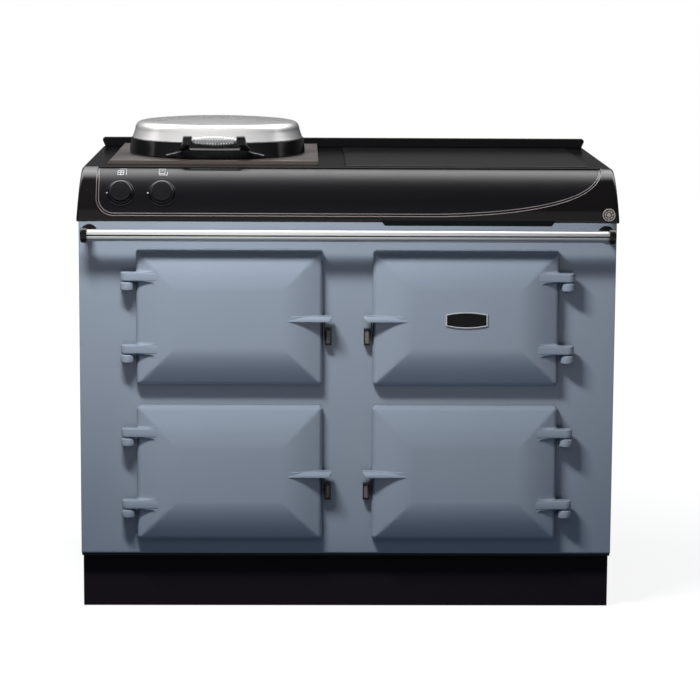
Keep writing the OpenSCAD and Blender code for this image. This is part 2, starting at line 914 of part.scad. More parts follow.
// The round iron hotplate, hung by its flange on the deck
module hotplate() {
    color(iron)
        at_lid(0)
            rotate_extrude()
                polygon([[0, hotplate_top - hotplate_t], [hotplate_r - 2, hotplate_top - hotplate_t],
                         [hotplate_r, hotplate_top - hotplate_t + 2], [hotplate_r, deck_z],
                         [hotplate_flange_r, deck_z], [hotplate_flange_r, deck_z + hotplate_flange_t],
                         [hotplate_r, deck_z + hotplate_flange_t], [hotplate_r, hotplate_top - 1],
                         [hotplate_r - 1, hotplate_top], [0, hotplate_top]]);
}

// Three heating rings and the bar that joins them, under the hotplate
module hotplate_element() {
    rings = [for (share = [0.35, 0.6, 0.85]) hotplate_r * share];
    color(copper)
        at_lid(hotplate_top - hotplate_t - element_d) {
            for (r = rings)
                rotate_extrude()
                    translate([r, 0])
                        square(element_d);
            translate([rings[0] + element_d / 2, -6, 0])
                cube([rings[2] - rings[0], 12, element_d]);
        }
}

// The dish that holds the heating rings, hung under the deck
module hotplate_pan() {
    wall = 3;
    r = hotplate_r + 3;
    rim = r + pan_flange;
    under = deck_z - deck_t;
    low = under - deck_t - pan_depth;
    color(zinc)
        at_lid(0)
            difference() {
                rotate_extrude()
                    polygon([[0, low], [r + wall, low], [r + wall, under - wall], [rim, under - wall],
                             [rim, under], [r, under], [r, low + wall], [0, low + wall]]);
                translate([0, 0, low - cut])
                    cylinder(r = 12, h = wall + 2 * cut);
            }
}

// ---- Lid ----

lid_foot = 0.5;
lid_shoulder = 13;
lid_side_z = lid_h - lid_sag - 12;

function lid_outer() =
    concat([for (i = [0:6]) [lid_top_r * i / 6, lid_h - lid_sag * pow(i / 6, 2)]],
           [for (i = [1:6]) let (a = 90 * i / 6)
               [lid_top_r + lid_shoulder * sin(a), lid_side_z + 12 * cos(a)]],
           [[lid_kink_r, lid_ring_h + 1], [lid_kink_r + 2, lid_ring_h - 1], [lid_r, lid_foot]]);

// The same outline drawn in by the thickness of the steel
function lid_inner() = [for (p = lid_outer())
    [max(0, p[0] - lid_t * (p[0] < lid_top_r ? 0 : 1)),
     p[1] > lid_foot ? p[1] - lid_t * (p[1] > lid_side_z ? 1 : 0) : p[1]]];

// The space that the lid takes up, solid
module lid_space() {
    rotate_extrude($fn = 96)
        polygon(concat([[0, lid_foot]], lid_outer()));
}

module lid_dome() {
    outer = lid_outer();
    inner = lid_inner();
    color(steel)
        at_lid()
            rotate_extrude($fn = 96)
                polygon(concat(outer, [for (i = [len(inner) - 1:-1:0]) inner[i]]));
}

// The flat inner face of the lid
module lid_liner() {
    low = 4;
    high = 8;
    ring_slope = (lid_r - lid_kink_r - 2) / (lid_ring_h - 1 - lid_foot);
    r = lid_r - lid_t + ring_slope * lid_foot;
    color(zinc)
        at_lid()
            rotate_extrude($fn = 96)
                polygon([[0, low], [r - ring_slope * low, low], [r - ring_slope * high, high], [0, high]]);
}

lid_axis_y = lid_r + lid_hinge_out;
lid_barrel_r = 9;
lid_barrel_half = 40;
lid_ear_t = 8;

// The arm cast on the lid's back, with the hinge's barrel
module lid_hinge_arm() {
    color(iron)
        at_lid()
            difference() {
                union() {
                    box([-lid_barrel_half, lid_r - 22, lid_hinge_z - lid_barrel_r],
                        [lid_barrel_half, lid_axis_y, lid_hinge_z + lid_barrel_r]);
                    translate([0, lid_axis_y, lid_hinge_z])
                        rod_x(lid_barrel_r, -lid_barrel_half, lid_barrel_half);
                }
                lid_space();
                translate([0, lid_axis_y, lid_hinge_z])
                    rod_x(lid_pin_r + fit, -lid_barrel_half - cut, lid_barrel_half + cut);
            }
}

// The fixed half of the lid's hinge: a foot, two ears and the pin
module lid_hinge_bracket() {
    foot_t = 4;
    foot_half = 60;
    foot_run = 14;
    gap = seat;
    color(iron)
        at_lid() {
            box([-foot_half, lid_axis_y - foot_run, 0], [foot_half, lid_axis_y + foot_run, foot_t]);
            for (side = [-1, 1])
                mirror([side < 0 ? 1 : 0, 0, 0]) {
                    box([lid_barrel_half + gap, lid_axis_y - 10, 0],
                        [lid_barrel_half + gap + lid_ear_t, lid_axis_y + 10, lid_hinge_z]);
                    translate([0, lid_axis_y, lid_hinge_z])
                        rod_x(10, lid_barrel_half + gap, lid_barrel_half + gap + lid_ear_t);
                }
            translate([0, lid_axis_y, lid_hinge_z])
                rod_x(lid_pin_r, -lid_barrel_half - lid_ear_t - 3, lid_barrel_half + lid_ear_t + 3);
        }
}

// ---- Lid handle ----

handle_y = -lid_r - handle_out;
handle_boss_r = 10;
handle_inner = handle_span / 2 - handle_bracket_t / 2;
rod_seat = 8;

// The black band round the lid's foot, and the two brackets that hold the rod
module lid_handle_bracket() {
    band_h = 22;
    band_t = 8;
    band_half_angle = 30.5;
    band_sunk = 8;
    band_section = [[lid_r - band_sunk, 3], [lid_r + band_t, 3], [lid_r + band_t, band_h - 8],
                    [lid_r + 2, band_h], [lid_r - band_sunk, band_h]];
    wing = handle_inner + handle_bracket_t;
    wing_tip = lid_r * 0.54;
    color(gloss_black)
        at_lid()
            difference() {
                union() {
                    // the band's ends slope down to its tips
                    intersection() {
                        rotate([0, 0, -90 - band_half_angle])
                            rotate_extrude(angle = 2 * band_half_angle, $fn = 96)
                                polygon(band_section);
                        slab_y([[-wing_tip, 0], [wing_tip, 0], [wing_tip, 8], [wing, band_h + cut],
                                [-wing, band_h + cut], [-wing_tip, 8]], -2 * lid_r, 0);
                    }
                    for (side = [-1, 1])
                        mirror([side < 0 ? 1 : 0, 0, 0]) {
                            bar_x([[handle_y, handle_z - handle_boss_r],
                                   [handle_y, handle_z + handle_boss_r],
                                   [-lid_r * 0.86, band_h + 6], [-lid_r * 0.86, 3],
                                   [-lid_r * 0.98, 3]],
                                  handle_inner, handle_inner + handle_bracket_t);
                            translate([0, handle_y, handle_z])
                                rod_x(handle_boss_r, handle_inner, handle_inner + handle_bracket_t);
                        }
                }
                lid_space();
                translate([0, handle_y, handle_z])
                    rod_x(rod_d / 2 + fit, -handle_inner - rod_seat, handle_inner + rod_seat);
            }
}

module lid_handle_rod() {
    color(steel)
        at_lid()
            translate([0, handle_y, handle_z])
                rod_x(rod_d / 2, -handle_inner - rod_seat + seat, handle_inner + rod_seat - seat);
}

// The coil: one wire wound round the rod, wider at its middle than at its ends
coil_rings = 8;
coil_sides = 6;
coil_lead = wire_d;
coil_len = 2 * handle_inner;
coil_steps = coil_turns * coil_rings;
function coil_radius(s) =
    (coil_end_d + (coil_mid_d - coil_end_d) * sin(180 * s) - wire_d) / 2;
function coil_point(i) =
    let (s = i / coil_steps, a = 360 * i / coil_rings)
        [-coil_len / 2 + coil_lead + s * (coil_len - 2 * coil_lead),
         coil_radius(s) * cos(a), coil_radius(s) * sin(a)];
coil_path = concat([[-coil_len / 2, coil_radius(0), 0]],
                   [for (i = [0:coil_steps]) coil_point(i)],
                   [[coil_len / 2, coil_radius(1), 0]]);
function unit(v) = v / norm(v);
function coil_tangent(k) =
    k == 0 || k == len(coil_path) - 1 ? [1, 0, 0]
        : unit(unit(coil_path[k + 1] - coil_path[k]) + unit(coil_path[k] - coil_path[k - 1]));
function coil_ring(k) =
    let (p = coil_path[k], t = coil_tangent(k), out = unit([0, p[1], p[2]]),
         side = unit(cross(t, out)), up = cross(side, t))
        [for (j = [0:coil_sides - 1]) let (a = 360 * j / coil_sides)
            p + wire_d / 2 * (up * cos(a) + side * sin(a))];
coil_verts = [for (k = [0:len(coil_path) - 1]) each coil_ring(k)];
coil_faces = concat(
    [[for (j = [0:coil_sides - 1]) j]],
    [for (k = [0:len(coil_path) - 2], j = [0:coil_sides - 1])
        let (a = k * coil_sides + j, b = k * coil_sides + (j + 1) % coil_sides)
            [a, a + coil_sides, b]],
    [for (k = [0:len(coil_path) - 2], j = [0:coil_sides - 1])
        let (a = k * coil_sides + j, b = k * coil_sides + (j + 1) % coil_sides)
            [b, a + coil_sides, b + coil_sides]],
    [[for (j = [coil_sides - 1:-1:0]) (len(coil_path) - 1) * coil_sides + j]]);
coil_gap = min([for (i = [0:len(coil_path) - 1], j = [i + 5:1:len(coil_path) - 1])
    norm(coil_path[i] - coil_path[j])]) - wire_d;
echo(coil_least_gap_to_itself = coil_gap);

module lid_handle_coil() {
    color(steel)
        at_lid()
            translate([0, handle_y, handle_z])
                polyhedron(coil_verts, coil_faces);
}

// ---- Hob ----

module hob_glass() {
    color(gloss_black)
        in_place()
            translate([glass_x, glass_y + glass_d / 2, deck_z + glass_proud - glass_t])
                linear_extrude(glass_t)
                    polygon(rounded_rect(glass_w, glass_d, 4, 4));
}

tray_wall = 1.5;
tray_gap = 2;
tray_top = deck_z + glass_proud - glass_t;
tray_w = glass_w - 2 * glass_lip - 2 * tray_gap;
tray_d = glass_d - 2 * glass_lip - 2 * tray_gap;

module hob_tray() {
    color(zinc)
        in_place()
            translate([glass_x, glass_y + glass_d / 2, tray_top - tray_h])
                difference() {
                    translate([-tray_w / 2, -tray_d / 2, 0])
                        cube([tray_w, tray_d, tray_h]);
                    translate([-tray_w / 2 + tray_wall, -tray_d / 2 + tray_wall, tray_wall])
                        cube([tray_w - 2 * tray_wall, tray_d - 2 * tray_wall, tray_h]);
                }
}

// Two flat windings on posts that stand on the tray's floor
module induction_coils() {
    winding_t = 8;
    below = 3;
    posts = 3;
    coils = [[-tray_w / 4 + 5, tray_d / 4 - 5, 100], [tray_w / 4 - 15, -tray_d / 4 + 10, 88]];
    color(copper)
        in_place()
            translate([glass_x, glass_y + glass_d / 2, 0])
                for (c = coils)
                    translate([c[0], c[1], 0]) {
                        translate([0, 0, tray_top - below - winding_t])
                            difference() {
                                cylinder(r = c[2], h = winding_t);
                                translate([0, 0, -cut])
                                    cylinder(r = 22, h = winding_t + 2 * cut);
                            }
                        for (i = [0:posts - 1])
                            rotate([0, 0, 360 * i / posts])
                                translate([c[2] * 0.7, 0, tray_top - tray_h + tray_wall])
                                    cylinder(r = 5, h = tray_h - tray_wall - below - winding_t / 2);
                    }
}

// ---- Rail ----

rail_z = body_top - rail_drop;
cap_out = body_w / 2 - rail_margin;
cap_l = 14;
rail_end = cap_out - 5;

module rail() {
    wall = 2;
    color(steel)
        in_place()
            translate([0, -rail_standoff, rail_z])
                difference() {
                    rod_x(rail_d / 2, -rail_end, rail_end);
                    rod_x(rail_d / 2 - wall, -rail_end - cut, rail_end + cut);
                }
}

// A rose on the panel, an arm, and the cap that holds the rail's end
module rail_brackets() {
    rose_r = 17;
    rose_t = 5;
    arm_r = 8;
    rose_x = cap_out - cap_l;
    color(gloss_black)
        in_place()
            for (side = [-1, 1])
                mirror([side < 0 ? 1 : 0, 0, 0])
                    translate([0, 0, rail_z])
                        difference() {
                            union() {
                                translate([rose_x, 0, 0])
                                    rod_y(rose_r, -rose_t, 0);
                                translate([rose_x, 0, 0])
                                    rod_y(arm_r, -rail_standoff, 0);
                                translate([0, -rail_standoff, 0])
                                    rod_x(rail_cap_d / 2, cap_out - cap_l, cap_out);
                            }
                            translate([0, -rail_standoff, 0])
                                rod_x(rail_d / 2 + fit, cap_out - 2 * cap_l - arm_r, rail_end + seat);
                        }
}

// ---- Ovens ----

module oven(side, row) {
    inner = rounded_rect(oven_w, oven_h, 12);
    outer = rounded_rect(oven_w + 2 * oven_wall, oven_h + 2 * oven_wall, 12 + oven_wall);
    flange = rounded_rect(oven_w + 2 * (oven_wall + oven_flange),
                          oven_h + 2 * (oven_wall + oven_flange), 12 + oven_wall + oven_flange);
    runner_w = 10;
    runner_t = 6;
    back = plate_t + oven_d;
    color(iron)
        at_door(side, row)
            union() {
                difference() {
                    union() {
                        slab_y(outer, plate_t, back + oven_wall);
                        slab_y(flange, plate_t, plate_t + oven_flange_t);
                    }
                    slab_y(inner, plate_t - cut, back);
                }
                for (k = [0:2], s = [-1, 1])
                    mirror([s < 0 ? 1 : 0, 0, 0])
                        translate([0, 0, -oven_h / 2 + runner_z + k * runner_pitch])
                            box([oven_w / 2 - runner_w, liner_depth + 20, 0],
                                [oven_w / 2 + cut, back + cut, runner_t]);
            }
}

module oven_top_left() { oven(-1, 1); }
module oven_top_right() { oven(1, 1); }
module oven_bottom_left() { oven(-1, 0); }
module oven_bottom_right() { oven(1, 0); }

element_reach = oven_w / 2 - 60;
element_z = oven_h / 2 + oven_wall;

// A flat hairpin heating element on each oven casting's roof
module oven_elements() {
    front = liner_depth + 40;
    tail = plate_t + oven_d;
    low = element_reach - element_d / 2;
    high = element_reach + element_d / 2;
    color(copper)
        at_all_doors()
            translate([0, 0, element_z]) {
                for (s = [-1, 1])
                    mirror([s < 0 ? 1 : 0, 0, 0])
                        box([low, front + element_reach, 0], [high, tail, element_d]);
                translate([0, front + element_reach, 0])
                    rotate([0, 0, 180])
                        rotate_extrude(angle = 180)
                            translate([low, 0])
                                square(element_d);
            }
}

// A rod shelf on each oven's lowest runners
module oven_shelves() {
    runner_t = 6;
    half = oven_w / 2 - 4;
    front = liner_depth + 24;
    back = plate_t + oven_d - 12;
    bars = 9;
    thin = 4;
    z = -oven_h / 2 + runner_z + runner_t + shelf_rod_d / 2 + 0.1;
    color(steel)
        at_all_doors()
            translate([0, 0, z]) {
                for (s = [-1, 1])
                    translate([s * (half - shelf_rod_d / 2), 0, 0])
                        rod_y(shelf_rod_d / 2, front, back);
                for (y = [front + shelf_rod_d, back - shelf_rod_d])
                    translate([0, y, 0])
                        rod_x(thin / 2, -half + shelf_rod_d / 2, half - shelf_rod_d / 2);
                for (i = [1:bars])
                    translate([-half + 2 * half * i / (bars + 1), 0, 0])
                        rod_y(thin / 2, front + shelf_rod_d / 2, back - shelf_rod_d / 2);
            }
}

// Mineral wool round the ovens
module insulation() {
    front = plate_t + oven_flange_t + 0.5;
    back = body_d - 29;
    top = door_z[1] + oven_h / 2 + oven_wall + 28;
    color(wool)
        difference() {
            in_place()
                box([-body_w / 2 + side_return + 1, front, plinth_h],
                    [body_w / 2 - side_return - 1, back, top]);
            at_all_doors() {
                box([-oven_w / 2 - oven_wall - seat, front - cut, -oven_h / 2 - oven_wall - seat],
                    [oven_w / 2 + oven_wall + seat, plate_t + oven_d + oven_wall + seat,
                     element_z + element_d + seat]);
            }
        }
}

// ---- Doors ----

// Height of the door's face above the panel at a distance d from its edge
function slope_height(d) =
    door_rim_h + (door_crown_h - door_rim_h) * sin(90 * min(1, d / door_slope_run));
function shoulder_drop(d) =
    d >= door_shoulder ? 0
        : (door_rim_h / 2) * (1 - sqrt(1 - pow((door_shoulder - d) / door_shoulder, 2)));
function face_height(d) = slope_height(d) - shoulder_drop(d);
face_steps = concat(
    [for (i = [0:4]) door_shoulder * (1 - cos(22.5 * i))],
    [for (i = [1:8]) door_shoulder + (door_slope_run - door_shoulder) * i / 8]);

// Half of the door's section: distance from the edge and height
function face_profile(width) =
    concat([for (d = face_steps) [d - width / 2, face_height(d)]],
           [for (i = [len(face_steps) - 1:-1:0])
               [width / 2 - face_steps[i], face_height(face_steps[i])]]);

module door_face() {
    across = [for (p = face_profile(door_w)) [p[0], -p[1]]];
    up = [for (p = face_profile(door_h)) [-p[1], p[0]]];
    intersection() {
        translate([0, 0, -door_h / 2])
            linear_extrude(door_h)
                polygon(concat(across, [[door_w / 2, -door_gap], [-door_w / 2, -door_gap]]));
        bar_x(concat(up, [[-door_gap, door_h / 2], [-door_gap, -door_h / 2]]),
              -door_w / 2, door_w / 2);
        slab_y(rounded_rect(door_w, door_h, 8), -door_crown_h - cut, 0);
    }
}

// A hinge arm, cast on the door, with a blind bore for its pin
module hinge_arm() {
    reach = 42;
    front = hinge_y + knuckle_r;
    back = hinge_y - 10;
    translate([0, 0, -arm_h / 2]) {
        translate([hinge_x, -hinge_y, 0])
            cylinder(r = knuckle_r, h = arm_h);
        box([door_w / 2 - reach, -front, 0], [hinge_x, -back, arm_h]);
    }
}

// The thumb piece at the door's free edge and the keeper under it, which meets the catch's roller
module latch_arm() {
    front = door_crown_h - 0.5;
    back = 22;
    tip = -door_w / 2 + 76;
    out = -door_w / 2 - latch_out;
    slant = 4;
    keeper_t = 2.2;
    keeper_x = roller_x - roller_r - 0.5;
    nose = [for (i = [0:5]) let (a = 90 * i / 5)
               [-front + 10 - 10 * cos(a), -latch_t / 2 + 2 + (latch_t - 2) * sin(a)]];
    intersection() {
        bar_x(concat([[-back, -latch_t / 2], [-front, -latch_t / 2]], nose, [[-back, latch_t / 2]]),
              out, tip);
        slab_y([[out, latch_t / 2 + cut], [out, latch_t / 2], [out + slant, -latch_t / 2 - cut],
                [tip, -latch_t / 2 - cut], [tip, latch_t / 2 + cut]], -front - cut, 0);
    }
    // the keeper lies between the roller and the door's edge
    box([roller_x + roller_r + 0.5, -back - 4, -catch_drop - catch_h * 0.66],
        [roller_x + roller_r + 0.5 + keeper_t, -9, -latch_t / 2 + 2]);
}

module door(side, row) {
    color(enamel_blue)
        at_door(side, row)
            difference() {
                union() {
                    door_face();
                    for (z = arm_z)
                        translate([0, 0, z])
                            hinge_arm();
                    latch_arm();
                }
                slab_y(rounded_rect(door_w - 2 * pocket_inset, door_h - 2 * pocket_inset, 6),
                       -pocket_d, 0);
                for (z = arm_z)
                    translate([hinge_x, -hinge_y, z - arm_h / 2 - cut])
                        cylinder(r = hinge_pin_r + fit, h = pin_bore + cut);
            }
}

module door_top_left() { door(-1, 1); }
module door_top_right() { door(1, 1); }
module door_bottom_left() { door(-1, 0); }
module door_bottom_right() { door(1, 0); }

// The insulated plug behind a door: it fills the door's pocket and stands in the oven's mouth
module door_liner(side, row) {
    swing_gap = 8;
    color(zinc)
        at_door(side, row) {
            slab_y(rounded_rect(door_w - 2 * pocket_inset - 2 * seat,
                                door_h - 2 * pocket_inset - 2 * seat, 6), -pocket_d, -door_gap);
            slab_y(rounded_rect(oven_w - 2 * swing_gap, oven_h - 2 * swing_gap, 10),
                   -door_gap - cut, liner_depth);
        }
}

module door_liner_top_left() { door_liner(-1, 1); }
module door_liner_top_right() { door_liner(1, 1); }
module door_liner_bottom_left() { door_liner(-1, 0); }
module door_liner_bottom_right() { door_liner(1, 0); }

// A bare badge on the upper right door: a rim round a sunk field, with bowed long edges
module badge() {
    w = 85;
    h = 33.6;
    side_h = 24;
    t = 3;
    rim = 2.4;
    bow = (h - side_h) / 2;
    bow_r = (pow(w / 2, 2) + pow(bow, 2)) / (2 * bow);
    color(steel)
        at_door(1, 1)
            translate([0, -door_crown_h - t, 0])
                rotate([-90, 0, 0])
                    difference() {
                        badge_blank(w, h, bow_r, t);
                        translate([0, 0, -t + 1.2])
                            badge_blank(w - 2 * rim, h - 2 * rim, bow_r - rim, t);
                    }
}

module badge_blank(w, h, bow_r, t) {
    intersection() {
        translate([-w / 2, -h / 2, 0])
            cube([w, h, t]);
        translate([0, h / 2 - bow_r, 0])
            cylinder(r = bow_r, h = t, $fn = 128);
        translate([0, bow_r - h / 2, 0])
            cylinder(r = bow_r, h = t, $fn = 128);
    }
}

base_pan();
levelling_feet();
plinth_front();
plinth_sides();
side_panel_left();
side_panel_right();
back_panel();
back_screws();
cable_gland();
front_plate();
door_seals();
hinge_lugs();
hinge_pins();
catch_brackets();
vent_strip();
top_plate();
control_fascia();
control_panel();
knob_bezels();
rotary_switches();
medallion();
rear_upstand();
hotplate_surround();
hotplate();
hotplate_element();
hotplate_pan();
hob_glass();
hob_tray();
induction_coils();
rail();
rail_brackets();
oven_top_left();
oven_top_right();
oven_bottom_left();
oven_bottom_right();
oven_shelves();
oven_elements();
insulation();
door_top_left();
door_top_right();
door_bottom_left();
door_bottom_right();
door_liner_top_left();
door_liner_top_right();
door_liner_bottom_left();
door_liner_bottom_right();
badge();
lid_dome();
lid_liner();
lid_hinge_arm();
lid_hinge_bracket();
lid_handle_bracket();
lid_handle_rod();
lid_handle_coil();
knob_left();
knob_right();
roller_top_left();
roller_top_right();
roller_bottom_left();
roller_bottom_right();
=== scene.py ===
"""Looks of a cast iron range cooker with four oven doors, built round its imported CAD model.

Points are given in millimetres: x from the cooker's middle, y behind the plane of the front
panel, z above the floor. build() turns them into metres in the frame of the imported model.
Angles are given in degrees.
"""

import json
import math

import bmesh
import bpy
import numpy as np
from mathutils import Matrix, Vector


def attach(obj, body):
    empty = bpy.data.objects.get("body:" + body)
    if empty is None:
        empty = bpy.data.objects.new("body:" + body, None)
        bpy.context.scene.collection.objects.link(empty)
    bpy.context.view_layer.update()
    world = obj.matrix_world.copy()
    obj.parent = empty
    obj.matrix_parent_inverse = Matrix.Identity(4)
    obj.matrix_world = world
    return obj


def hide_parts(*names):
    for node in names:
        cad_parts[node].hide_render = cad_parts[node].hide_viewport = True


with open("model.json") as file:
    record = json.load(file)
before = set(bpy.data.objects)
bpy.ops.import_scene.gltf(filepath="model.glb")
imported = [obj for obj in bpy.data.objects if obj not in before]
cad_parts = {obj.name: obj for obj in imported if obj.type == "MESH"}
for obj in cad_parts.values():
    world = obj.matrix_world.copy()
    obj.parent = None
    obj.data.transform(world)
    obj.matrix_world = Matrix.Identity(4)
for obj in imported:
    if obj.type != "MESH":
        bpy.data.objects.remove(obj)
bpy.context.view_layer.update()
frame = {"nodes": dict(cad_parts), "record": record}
NODES = frame["nodes"]
BODY_OF = {n: body for body, names in frame["record"]["behaviour"]["bodies"].items() for n in names}
SLOT_OF = {s["node"]: s["material_slot"] for s in frame["record"]["subparts"]}
PANEL_Y = -278.0
MM = 1000  # millimetres in a metre
SIDES = (("left", -1), ("right", 1))
# sockets of a colour mix: what it starts from, what it mixes in, and its result
MIX_FROM, MIX_IN, MIX_OUT = 6, 7, 2


def sin(degrees):
    return math.sin(math.radians(degrees))


def cos(degrees):
    return math.cos(math.radians(degrees))


# -------- materials
class Look:
    """A node material: a Principled shader with a few textures in the piece's own coordinates."""

    def __init__(self, name, colour, rough, metal=0.0, **sockets):
        self.mat = bpy.data.materials.new(name)
        self.mat.use_nodes = True
        self.tree = self.mat.node_tree
        self.shader = self.tree.nodes["Principled BSDF"]
        self.where = self.node("ShaderNodeTexCoord").outputs["Object"]
        self.colour = colour
        self.height = None
        self.shader.inputs["Base Color"].default_value = (*colour, 1)
        self.shader.inputs["Roughness"].default_value = rough
        self.shader.inputs["Metallic"].default_value = metal
        for key, value in sockets.items():
            self.shader.inputs[key.replace("_", " ")].default_value = value

    def node(self, kind, **fields):
        made = self.tree.nodes.new(kind)
        for key, value in fields.items():
            setattr(made, key, value)
        return made

    def link(self, source, target):
        self.tree.links.new(source, target)

    def stretched(self, stretch, turn=(0, 0, 0)):
        if stretch is None:
            return self.where
        place = self.node("ShaderNodeMapping")
        place.inputs["Scale"].default_value = stretch
        place.inputs["Rotation"].default_value = [math.radians(a) for a in turn]
        self.link(self.where, place.inputs["Vector"])
        return place.outputs["Vector"]

    def noise(self, scale, detail=2.0, stretch=None, rough=0.5, turn=(0, 0, 0)):
        made = self.node("ShaderNodeTexNoise")
        made.inputs["Scale"].default_value = scale
        made.inputs["Detail"].default_value = detail
        made.inputs["Roughness"].default_value = rough
        self.link(self.stretched(stretch, turn), made.inputs["Vector"])
        return made.outputs["Fac"]

    def cells(self, scale):
        made = self.node("ShaderNodeTexVoronoi", feature="F1")
        made.inputs["Scale"].default_value = scale
        self.link(self.where, made.inputs["Vector"])
        return made.outputs["Distance"]

    def spread(self, value, low, high, to_low=0.0, to_high=1.0):
        made = self.node("ShaderNodeMapRange", interpolation_type="SMOOTHSTEP")
        for key, number in (("From Min", low), ("From Max", high), ("To Min", to_low), ("To Max", to_high)):
            made.inputs[key].default_value = number
        self.link(value, made.inputs["Value"])
        return made.outputs["Result"]

    def tint(self, value, colour, amount=1.0):
        """Mixes a second colour in where value is 1."""
        mix = self.node("ShaderNodeMix", data_type="RGBA")
        if amount != 1.0:
            value = self.spread(value, 0, 1, 0, amount)
        self.link(value, mix.inputs[0])
        if self.shader.inputs["Base Color"].is_linked:
            self.link(self.shader.inputs["Base Color"].links[0].from_socket, mix.inputs[MIX_FROM])
        else:
            mix.inputs[MIX_FROM].default_value = (*self.colour, 1)
        mix.inputs[MIX_IN].default_value = (*colour, 1)
        self.link(mix.outputs[MIX_OUT], self.shader.inputs["Base Color"])

    def roughen(self, value, low, high):
        """Lets the roughness go from low to high with value."""
        self.link(self.spread(value, 0.3, 0.7, low, high), self.shader.inputs["Roughness"])

    def bump(self, value, depth):
        """Adds relief of the given depth in millimetres."""
        made = self.node("ShaderNodeBump")
        made.inputs["Strength"].default_value = 1.0
        made.inputs["Distance"].default_value = depth / MM
        self.link(value, made.inputs["Height"])
        if self.height is not None:
            self.link(self.height, made.inputs["Normal"])
        self.height = made.outputs["Normal"]
        self.link(self.height, self.shader.inputs["Normal"])


def enamel(name, colour, rough, peel, spec=0.5):
    """Vitreous enamel on cast iron: a glassy coat with a faint orange peel and a slight drift of shade."""
    look = Look(name, colour, rough, Specular_IOR_Level=spec)
    drift = look.spread(look.noise(2.2, 3.0), 0.35, 0.65)
    look.tint(drift, [c * 1.05 for c in colour], 0.6)
    speck = look.spread(look.noise(900, 1.0), 0.62, 0.72)
    look.tint(speck, [c * 0.8 for c in colour], 0.35)
    look.roughen(look.noise(14, 3.0), rough * 0.85, rough * 1.2)
    look.bump(look.noise(38), peel * 2.2)
    look.bump(look.noise(330), peel * 0.18)
    return look


def metal(name, colour, rough, share, depth, grain=None):
    """Metal with small changes of sheen, and marks of a depth that run one way where a grain is given."""
    look = Look(name, colour, rough, share)
    look.tint(look.spread(look.noise(9, 4.0), 0.35, 0.7), [c * 0.9 for c in colour], 0.4)
    look.roughen(look.noise(26, 4.0), rough * 0.94, rough * 1.07)
    look.bump(look.noise(1.0, 3.0, stretch=grain) if grain else look.noise(420, 3.0), depth)
    return look


def blotched(name, colour, rough, second, drift, sheen=None, reliefs=(), spec=0.5, share=0.0):
    """Paint, plastic or iron with blotches of a second colour, changes of sheen and reliefs.

    drift is the scale, detail and amount of the blotches, and their low and high edge where they are crisp;
    sheen is the scale, detail, low and high of the roughness; a relief is its depth, scale and detail.
    """
    look = Look(name, colour, rough, share, Specular_IOR_Level=spec)
    scale, detail, amount, *edges = drift
    value = look.noise(scale, detail)
    look.tint(look.spread(value, *edges) if edges else value, second, amount)
    if sheen:
        look.roughen(look.noise(*sheen[:2]), *sheen[2:])
    for depth, *noise in reliefs:
        look.bump(look.noise(*noise), depth)
    return look


